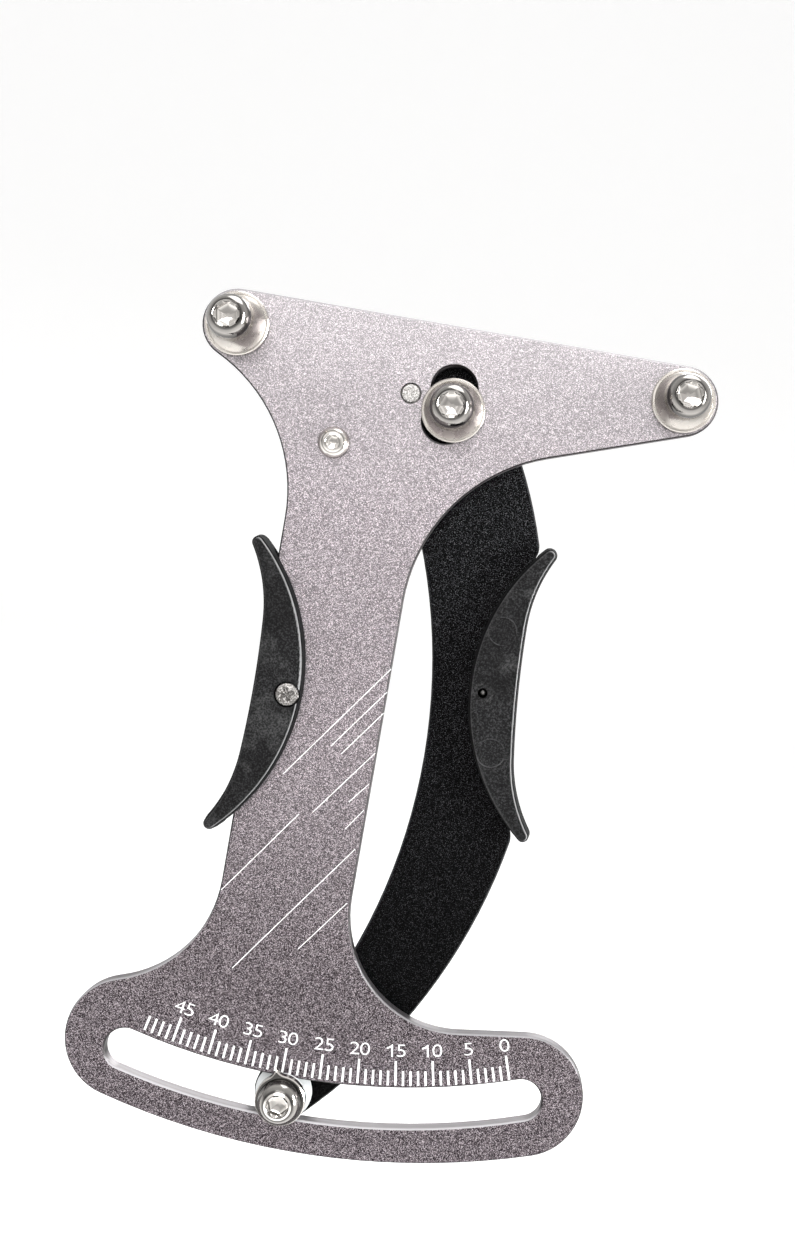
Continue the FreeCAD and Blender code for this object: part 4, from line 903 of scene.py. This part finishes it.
def make_screw(name, node, body, places, size, look):
    """Detailed screws that stand for a node.

    places has the place (x, z), seat and end of each, and the turn of its socket in degrees."""
    mesh = bmesh.new()
    for place, seat, end, corner in places:
        button_screw(mesh, place, seat, end, size, corner)
    piece = new_piece(name, body, look, finish_spun(name, mesh))
    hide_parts(node)


RECESS_DEPTH = 0.85
RECESS_HALF_WIDTH, RECESS_SIDE = 0.52, 0.22
RECESS_REACH, RECESS_END = 1.75, 0.35
RECESS_BEHIND = -0.3


def clamp(value):
    """A value held between 0 and 1."""
    return min(1.0, max(0.0, value))


def cross_recess(reach, turn):
    """Depth of a cross recess against the angle, at one distance from its middle."""
    def depth(angle):
        deepest = 0.0
        for arm in range(4):
            off = angle - math.radians(turn + 90 * arm)
            along, across = reach * math.cos(off), abs(reach * math.sin(off))
            if along > RECESS_BEHIND:
                inside = clamp((RECESS_HALF_WIDTH - across) / RECESS_SIDE)
                reached = clamp((RECESS_REACH - along) / RECESS_END)
                deepest = max(deepest, inside * reached)
        return RECESS_DEPTH * deepest
    return depth


PAN_HEAD, PAN_CROWN, PAN_HEIGHT, PAN_SHANK = 2.8, 0.35, 1.7, 1.5
PAN_FACE, PAN_RINGS = 0.93, 22
PAN_EDGE = 0.25
# The tip, in shares of the shank's radius and mm back from the point.
PAN_TIP = [(1.0, 0.8), (0.75, 0.35), (0.35, 0.08), (0.0, 0.0)]


def make_pan_screw(name, node, body, place, face, towards, tip, turn, look):
    """A pan-head screw with a cross recess; towards is +1 where its shank runs along +Y."""
    mesh = bmesh.new()
    rings = []
    for step in range(PAN_RINGS + 1):
        reach = PAN_HEAD * PAN_FACE * step / PAN_RINGS
        recess = cross_recess(reach, turn)
        rise = PAN_CROWN * (reach / PAN_HEAD) ** 2

        def depth(angle, recess=recess, rise=rise):
            return face + towards * (rise + recess(angle))
        rings.append((reach, depth))
    seat = face + towards * PAN_HEIGHT
    rings += [
        (PAN_HEAD, face + towards * (PAN_CROWN + PAN_EDGE)),
        (PAN_HEAD, seat),
        (PAN_SHANK, seat),
    ]
    rings += [(PAN_SHANK * share, tip - towards * back) for share, back in PAN_TIP]
    spin(mesh, *place, rings)
    piece = new_piece(name, body, look, finish_spun(name, mesh))
    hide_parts(node)


# Radius and depth along the pivot pin: its dished face, bevel, body, clip groove and end.
PIVOT_PIN = [
    (0, 8.10), (1.2, 8.07), (1.95, 8.0), (2.05, 8.02),
    (2.42, 8.45), (2.5, 8.6),
    (2.5, 15.45), (2.1, 15.5), (2.1, 16.2), (2.5, 16.25),
    (2.5, 16.9), (2.2, 17.3), (0, 17.3),
]


def make_pivot_pin():
    """The pin that the lever turns on."""
    mesh = bmesh.new()
    spin(mesh, PIVOT.x, PIVOT.z, PIVOT_PIN)
    piece = new_piece("pivot_pin_turned", "frame", PIVOT_END,
                      finish_spun("pivot_pin_turned", mesh))
    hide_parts("pivot_pin")


# Depths at which heads rest and shanks end.
POST_SEAT, POINTER_SEAT = -1.2, 5.5
OUTER_END, LEVER_END, ANCHOR_END = 15.8, 19.4, 15.0
LEFT_GRIP_FACE, LEFT_GRIP_TIP = 5.1, 12.65
RIGHT_GRIP_FACE, RIGHT_GRIP_TIP = 17.5, 9.95


def make_fasteners():
    """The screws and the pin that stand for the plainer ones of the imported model."""
    make_screw("outer_post_button_screws", "outer_post_screws", "frame", [
        (LEFT_POST, POST_SEAT, OUTER_END, 0),
        (RIGHT_POST, POST_SEAT, OUTER_END, 12)], M6, SCREW)
    make_screw("centre_post_button_screw", "centre_post_screw", "lever", [
        (CENTRE_POST, POST_SEAT, LEVER_END, 30)], M6, SCREW)
    make_screw("pointer_button_screw", "pointer_screw", "lever", [
        (POINTER_SCREW, POINTER_SEAT, LEVER_END, 8)], M6_SMALL_SOCKET, SCREW)
    make_screw("spring_button_screw", "spring_anchor_screw", "frame", [
        (ANCHOR_SCREW, PLATE_FRONT, ANCHOR_END, 15)], M4, SMALL_SCREW)
    make_pan_screw("left_grip_pan_screw", "left_grip_screw", "frame", LEFT_GRIP_SCREW,
                   LEFT_GRIP_FACE, 1, LEFT_GRIP_TIP, 25, ROUGH)
    make_pan_screw("right_grip_pan_screw", "right_grip_screw", "lever", RIGHT_GRIP_SCREW,
                   RIGHT_GRIP_FACE, -1, RIGHT_GRIP_TIP, 40, TIP_IN_PAINTED_SHADE)
    make_pivot_pin()


# ----------------------------------------------------------- stage and light

# Metres: the paper's floor, the cove at its back and the wall above it.
FLOOR_DROP = 0.15
SWEEP_HALF_WIDTH = 9.0
SWEEP_FRONT, SWEEP_BACK = -6.0, 2.5
COVE, COVE_STEPS = 1.0, 24
SWEEP_TOP = 7.0
GREY_UNTIL, WHITE_FROM = -0.9, -0.1
PAPER_STOPS = [(0.0, 0.62), (1.0, 0.86)]
PAPER_GLOW = 0.26


def paper():
    """White studio paper, graduated to grey in front of the object.

    The white part also glows a little where a camera, a gloss or a clear piece sees it."""
    m = Surface("studio_paper", Roughness=0.9, Specular_IOR_Level=0.0,
                Emission_Color=(1, 1, 1, 1))
    white = m.span(m.along("Y"), GREY_UNTIL, WHITE_FROM, smooth=True)
    m.to(m.ramp(white, PAPER_STOPS), "Base Color")
    rays = m.add("LightPath").outputs
    seen = m.number("MAXIMUM", rays["Is Camera Ray"], rays["Is Glossy Ray"])
    seen = m.number("MAXIMUM", seen, rays["Is Transmission Ray"])
    glow = m.number("MULTIPLY", white, PAPER_GLOW)
    m.to(m.number("MULTIPLY", seen, glow), "Emission Strength")
    return m.material


def make_stage():
    """A sheet of paper that runs from the floor up the wall."""
    floor = cad_box[0].z - FLOOR_DROP
    line = [(SWEEP_FRONT, floor), (SWEEP_BACK, floor)]
    for step in range(1, COVE_STEPS + 1):
        turn = math.radians(90 * step / COVE_STEPS)
        line.append((SWEEP_BACK + COVE * math.sin(turn), floor + COVE * (1 - math.cos(turn))))
    line.append((SWEEP_BACK + COVE, SWEEP_TOP))
    corners = [(side * SWEEP_HALF_WIDTH, y, z) for y, z in line for side in (-1, 1)]
    faces = [(2 * i, 2 * i + 1, 2 * i + 3, 2 * i + 2) for i in range(len(line) - 1)]
    mesh = bpy.data.meshes.new("sweep")
    mesh.from_pydata(corners, [], faces)
    for face in mesh.polygons:
        face.use_smooth = True
    mesh.materials.append(paper())
    sweep = bpy.data.objects.new("sweep", mesh)
    bpy.context.scene.collection.objects.link(sweep)


# Name, place, target, width, height, watts and spread in degrees, with lengths in metres.
LAMPS = [
    ("key", (-0.10, -1.00, 0.60), (0.02, 0, -0.02), 1.0, 0.6, 2.0, 70),
    ("overhead", (0.1, 0.15, 1.1), (0.05, 0.1, -0.1), 0.9, 0.7, 3.2, 110),
    ("side_strip", (0.9, -0.25, 0.0), (0, 0, -0.08), 0.10, 0.9, 2.5, 50),
    ("back_light", (0.3, 0.9, 0.5), (0, 0, -0.08), 0.6, 0.6, 3.0, 100),
]


def make_lamps():
    """Soft rectangular lamps."""
    for name, place, target, width, height, watts, spread in LAMPS:
        data = bpy.data.lights.new(name, "AREA")
        data.shape = "RECTANGLE"
        data.size = width
        data.size_y = height
        data.energy = watts
        data.spread = math.radians(spread)
        lamp = bpy.data.objects.new(name, data)
        bpy.context.scene.collection.objects.link(lamp)
        lamp.location = place
        aim = Vector(target) - Vector(place)
        lamp.rotation_euler = aim.to_track_quat("-Z", "Y").to_euler()


WORLD_TOWARDS = (-0.05, -0.55, 0.83)
WORLD_TINT = (1.0, 0.995, 0.99)
WORLD_STOPS = [(0.0, 0.50), (0.5, 0.50), (0.66, 0.55), (0.77, 0.88), (1.0, 1.05)]
WORLD_BEHIND, WORLD_FADE = (0.95, 0.95, 0.95), 0.3


def make_world():
    """A studio that is bright above, in front and behind, and grey at the sides."""
    world = bpy.data.worlds.new("world")
    bpy.context.scene.world = world
    world.use_nodes = True
    m = Tree(world.node_tree, "Generated")
    upward = m.span(m.vector("DOT_PRODUCT", m.place, WORLD_TOWARDS), -1.0, 1.0)
    tinted = [(position, tuple(level * share for share in WORLD_TINT))
              for position, level in WORLD_STOPS]
    behind = m.span(m.along("Y"), -WORLD_FADE, WORLD_FADE, smooth=True)
    light = m.mix(behind, m.ramp(upward, tinted), WORLD_BEHIND, "LIGHTEN")
    background = world.node_tree.nodes["Background"]
    m.join(light, background.inputs["Color"])
    background.inputs["Strength"].default_value = 1.0


bpy.context.scene.view_settings.view_transform = "Standard"
dress_nodes()
make_camera()
make_world()
make_stage()
make_lamps()
make_ticks()
make_numbers()
make_stripes()
make_spring()
make_fasteners()

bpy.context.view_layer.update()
